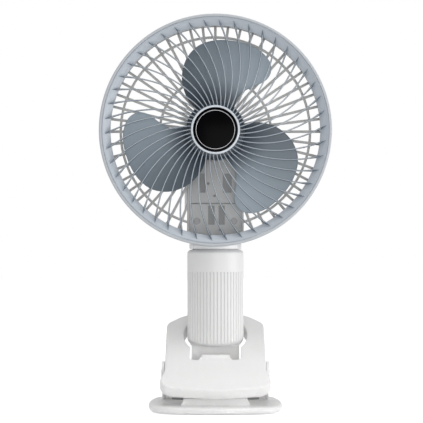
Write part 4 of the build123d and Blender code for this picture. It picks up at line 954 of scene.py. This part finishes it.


# ---- Impeller ----
# Three broad lobed blades and a deep hub cap in one piece of satin slate-blue plastic, pressed on the motor's
# shaft. Its colour carries painted shade: darker on the steep trailing sides and round the hub, lighter
# towards the thin leading edges.

BLADE_COUNT = 3
BLADE_TIP_RADIUS = 75.0
BLADE_THICKNESS = 1.6
BLADE_GAP = 0.6
BLADE_SWEEP = (-45.0, 47.0)
BLADE_EASE = 1.7
BLADE_MIDDLE = (4.0, 50.0)
BLADE_RINGS = 26
BLADE_POLAR = ((20, -32), (38, -42), (53.5, -37), (66.7, -30), (79, -21), (88, -10.5), (92, 2), (93.3, 16),
               (93.3, 28), (89.5, 37.5), (83, 42.7), (75, 44.7), (66.7, 43.5), (58, 39.7), (48, 35),
               (41.7, 33.7), (34, 36), (24, 40))
IMPELLER_FRONT = 5.9
IMPELLER_BACK = 18.3
IMPELLER_HUB_RADIUS = 23.8
HUB_WALL = 1.8
HUB_FACE_BACK = 9.1
EYE_RADIUS = 4.5
EYE_DEPTH = 1.0
BOSS_RADIUS = 4.8
BOSS_SETBACK = 2.0
BORE_RADIUS = 1.62


def smooth_closed(points, per_span=14):
    """Catmull-Rom curve through closed points: the blend of four neighbours with weights in t, t^2, t^3."""
    t = np.linspace(0, 1, per_span, endpoint=False)[None, :, None]
    before, here = np.roll(points, 1, 0)[:, None], points[:, None]
    after, later = np.roll(points, -1, 0)[:, None], np.roll(points, -2, 0)[:, None]
    curve = 0.5 * (2 * here + (after - before) * t + (2 * before - 5 * here + 4 * after - later) * t ** 2
                   + (3 * here - 3 * after + later - before) * t ** 3)
    return curve.reshape(-1, 2)


def blade_depth(x, height):
    """Depth of the blade's front face: front + gap + run (1 - (1 - s)^ease), with s the share of the turn
    from the trailing side, which is in front and steep, to the leading side, which is behind and flat."""
    first, last = BLADE_SWEEP
    turn = np.degrees(np.arctan2(x, np.maximum(height, 1.0)))
    share = np.clip((turn - first) / (last - first), 0, 1)
    run = IMPELLER_BACK - BLADE_THICKNESS - IMPELLER_FRONT - 2 * BLADE_GAP
    return IMPELLER_FRONT + BLADE_GAP + run * (1 - (1 - share) ** BLADE_EASE)


def blade_grid(turn):
    """Lens-shaped lobe: rings from a middle point out to the edge and back behind it, half as thick at
    share t as 0.35 + 0.45 (1 - t^2), times a round edge; then turned about the hub."""
    radius, angle = np.array(BLADE_POLAR, float).T
    radius *= BLADE_TIP_RADIUS / radius.max()
    outline = smooth_closed(radius[:, None] * rays(math.pi / 2 - np.radians(angle)))
    reach = np.hypot(*outline.T)
    outline *= (np.maximum(reach, IMPELLER_HUB_RADIUS - HUB_WALL / 2) / reach)[:, None]
    t = np.sin(np.linspace(0, math.pi / 2, BLADE_RINGS))
    t = np.concatenate([t, t[-2::-1]])
    face = np.where(np.arange(len(t)) < BLADE_RINGS, -1.0, 1.0)
    plan = BLADE_MIDDLE + t[:, None, None] * (outline - BLADE_MIDDLE)
    half = (0.35 + 0.45 * (1 - t ** 2)) * np.sqrt(np.clip(1 - t ** 24, 0, 1))
    depth = blade_depth(plan[..., 0], plan[..., 1]) + BLADE_THICKNESS / 2 + (face * half)[:, None]
    cosine, sine = rays(turn)
    x, z = np.moveaxis(plan @ np.array([[cosine, -sine], [sine, cosine]]), -1, 0)
    return np.stack([x, HEAD_FRONT_Y + depth, HUB_Z + z], -1)


def blade_painted_shade_group():
    """Base colour over a blade with painted shade: by the angle about the hub folded three ways, darker at
    the trailing side and lighter at the leading side, and darker close to the hub.
    """
    group, given, out = node_group(
        "blade_painted_shade", {"Trailing": (0.075, 0.10, 0.125, 1), "Leading": (0.42, 0.495, 0.56, 1),
                       "Root": (0.05, 0.07, 0.095, 1)}, {"Colour": "Color"})
    place = node_output(group, "TexCoord", {}, "Object")
    centred = node_output(group, "Mapping", {"Vector": place, "Location": (0, 0, -HUB_Z * MM)})
    x = node_output(group, "SeparateXYZ", {"Vector": centred}, "X")
    z = x.node.outputs["Z"]
    turns = maths(group, "MULTIPLY_ADD", maths(group, "ARCTAN2", x, z), BLADE_COUNT / (2 * math.pi), 0.5)
    fold = maths(group, "FRACT", turns)
    flat = node_output(group, "CombineXYZ", {"X": x, "Z": z})
    reach = node_output(group, "VectorMath", {0: flat}, "Value", operation="LENGTH")
    hub_reach = IMPELLER_HUB_RADIUS * MM
    across = share_between(group, fold, 0.12, 0.85, interpolation_type="SMOOTHSTEP")
    outward = share_between(group, reach, 0.9 * hub_reach, 1.9 * hub_reach, interpolation_type="SMOOTHSTEP")
    tone = mixed(group, across, given["Trailing"], given["Leading"])
    feed(out, {"Colour": mixed(group, outward, given["Root"], tone)})
    return group


blade_slate = plastic("blade_slate", (0.2, 0.25, 0.3), roughness=0.36, bump=0.01, drift=0.02)
blade_skin = blade_slate.node_tree.nodes["Group"]
blade_painted_shade = node_output(blade_slate.node_tree, "Group", {}, "Colour", node_tree=blade_painted_shade_group())
feed(blade_skin, {"Colour": blade_painted_shade})
cap_wall = IMPELLER_HUB_RADIUS - HUB_WALL
eye_back, boss_back = IMPELLER_FRONT + EYE_DEPTH, IMPELLER_BACK - BOSS_SETBACK
cap_profile = rounded_path([(BORE_RADIUS, eye_back), (EYE_RADIUS, eye_back), (EYE_RADIUS, IMPELLER_FRONT),
                            (IMPELLER_HUB_RADIUS, IMPELLER_FRONT), (IMPELLER_HUB_RADIUS, IMPELLER_BACK),
                            (cap_wall, IMPELLER_BACK), (cap_wall, HUB_FACE_BACK),
                            (BOSS_RADIUS, HUB_FACE_BACK), (BOSS_RADIUS, boss_back), (BORE_RADIUS, boss_back)],
                           [0.1, 0.1, 0.2, 3.2, 0.4, 0.4, 0.8, 0.4, 0.3, 0.1])
blades = [blade_grid(2 * math.pi * n / BLADE_COUNT) for n in range(BLADE_COUNT)]
new_piece("impeller", "impeller", "blade_slate", [turned_about_hub(cap_profile), *blades], sharp=60)


# ---- Carried-over pieces ----
# Pieces whose plain shape is already right: knuckle, bolt, nut, washers, upper pad, cells, board, button
# and the parts inside the motor. They are turned steel, sintered bronze, nylon and elastomer mouldings
# and a shrink-wrapped pair of cells.

plastic("dark_nylon", (0.05, 0.05, 0.052), roughness=0.5, grain=0.5)
plastic("white_nylon", (0.8, 0.8, 0.79), roughness=0.5, grain=0.5)
metal("bronze", (0.50, 0.34, 0.17), roughness=0.45)
metal("winding", (0.55, 0.25, 0.12), roughness=0.35, grain=0.6)
plastic("cell_wrap", (0.10, 0.28, 0.42), roughness=0.25, grain=1.5, bump=0.03)
plastic("board_green", (0.03, 0.16, 0.07), roughness=0.3, grain=0.7)
plastic("window_clear", (0.62, 0.63, 0.62), roughness=0.12, grain=0.8, bump=0.004)
plastic("button_grey", (0.42, 0.43, 0.44), roughness=0.5, grain=0.6, bump=0.03)
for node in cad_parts.values():
    for place in node.material_slots:
        place.material = FINISHES[place.material.name.split(".")[0]]


# ---- Screws and the neck's panel ----
# Screws of blackened steel, and the polypropylene panel behind the blades. The panel's grey is painted shade,
# standing for white plastic in the head's shade, and its pockets and grooves are painted darker still:
# painted shade of whatever lies behind its face.

PANEL_Y = 12.0
PANEL_POCKET_DEPTH = 1.2


def pocket_shade_share(tree):
    """How deep in the panel's pockets a point lies, from 0 to 1, by its y: the share of painted shade."""
    place = node_output(tree, "TexCoord", {}, "Object")
    y = node_output(tree, "SeparateXYZ", {"Vector": place}, "Y")
    return share_between(tree, y, (PANEL_Y + 0.15) * MM, (PANEL_Y + PANEL_POCKET_DEPTH) * MM)


metal("screw_black", (0.30, 0.30, 0.305), roughness=0.5)
# Grey standing for white plastic in shade, tinted darker in the pockets: painted shade.
panel_grey = plastic("panel_grey", (0.60, 0.605, 0.605), roughness=0.5, grain=0.9, bump=0.03, drift=0.1)
tint(panel_grey, (0.33, 0.335, 0.34), pocket_shade_share(panel_grey.node_tree))
for name, finish in (("neck_screws", "screw_black"), ("grille_screws", "screw_black"),
                     ("neck_panel", "panel_grey")):
    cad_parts[name].material_slots[0].material = FINISHES[finish]


# ---- Floor, light and camera ----
# A white table top that runs on without an edge in a pale room. Soft lamps stand at the right, in front
# near the floor and overhead, with a narrow one for the base's edge. The camera is a little over a metre
# away, low down and turned up slightly.

WHITE = (1, 1, 1, 1)
FLOOR_REACH = 6000
FLOOR_TONE = 0.8
FLOOR_LIFT = 0.72
ROOM_LIGHT = 0.60
CAMERA = (0.0, -1.158, 0.1227)
AIM = (-0.0031, -0.008, 0.1572)
LENS = 122.85


def stage_material(name):
    """Matt white paper that still takes shadows, lifted to white where the camera or a mirror sees it."""
    material = bpy.data.materials.new(name)
    material.use_nodes = True
    tree = material.node_tree
    fibre = node_output(tree, "TexNoise", {"Scale": 60.0})
    tone = node_output(tree, "MapRange", {"Value": fibre, "To Min": FLOOR_TONE - 0.01, "To Max": FLOOR_TONE})
    camera_ray = node_output(tree, "LightPath", {}, "Is Camera Ray")
    glossy_ray = camera_ray.node.outputs["Is Glossy Ray"]
    strength = maths(tree, "MULTIPLY", maths(tree, "MAXIMUM", camera_ray, glossy_ray), FLOOR_LIFT)
    feed(tree.nodes["Principled BSDF"],
         {"Base Color": tone, "Roughness": 0.9, "Specular IOR Level": 0.0, "Emission Color": WHITE,
          "Emission Strength": strength})
    return material


def aimed(holder, place, aim):
    """Put a lamp or a camera at a place in metres and turn it to a point."""
    holder.location = place
    holder.rotation_euler = (Vector(aim) - Vector(place)).to_track_quat("-Z", "Y").to_euler()


def lamp(name, place, aim, size, power, spread=180):
    """Soft lamp (width, height) at a place in metres, turned to aim at a point, its beam in degrees."""
    light = bpy.data.lights.new(name, "AREA")
    light.shape = "RECTANGLE"
    light.size, light.size_y = size
    light.energy = power
    light.spread = math.radians(spread)
    aimed(linked(name, light), place, aim)


ends = (-FLOOR_REACH, FLOOR_REACH)
floor_grid = np.array([[(x, y, 0) for x in ends] for y in ends])
floor = surface_object("floor", [(floor_grid, False, False)])
floor.data.materials.append(stage_material("floor_white"))

world = bpy.data.worlds.new("soft_room")
world.use_nodes = True
bpy.context.scene.world = world
room = world.node_tree
sky = room.nodes["Background"]
feed(sky, {"Color": WHITE, "Strength": ROOM_LIGHT})
backdrop = node_output(room, "Background", {"Color": WHITE})
seen = node_output(room, "LightPath", {}, "Is Camera Ray")
blend = node_output(room, "MixShader", {"Fac": seen, 1: sky.outputs["Background"], 2: backdrop})
feed(room.nodes["World Output"], {"Surface": blend})

lamp("side", (1.2, -0.22, 0.26), (0, 0, 0.2), (0.45, 0.45), 3.0)
lamp("key", (0.9, -0.5, 0.06), (0, 0, 0.2), (0.4, 0.1), 1.0)
lamp("low", (0.15, -1.3, 0.12), (0, 0, 0.05), (0.5, 0.5), 3.0)
lamp("top", (0.0, -0.25, 1.3), (0, 0, 0.1), (0.7, 0.7), 3.8)
lamp("strip", (0.06, -0.95, 0.022), (0, 0, 0.022), (0.5, 0.03), 0.014, spread=6)

camera = linked("camera", bpy.data.cameras.new("camera"))
aimed(camera, CAMERA, AIM)
camera.data.lens = LENS
bpy.context.scene.camera = camera
bpy.context.scene.view_settings.view_transform = "Standard"
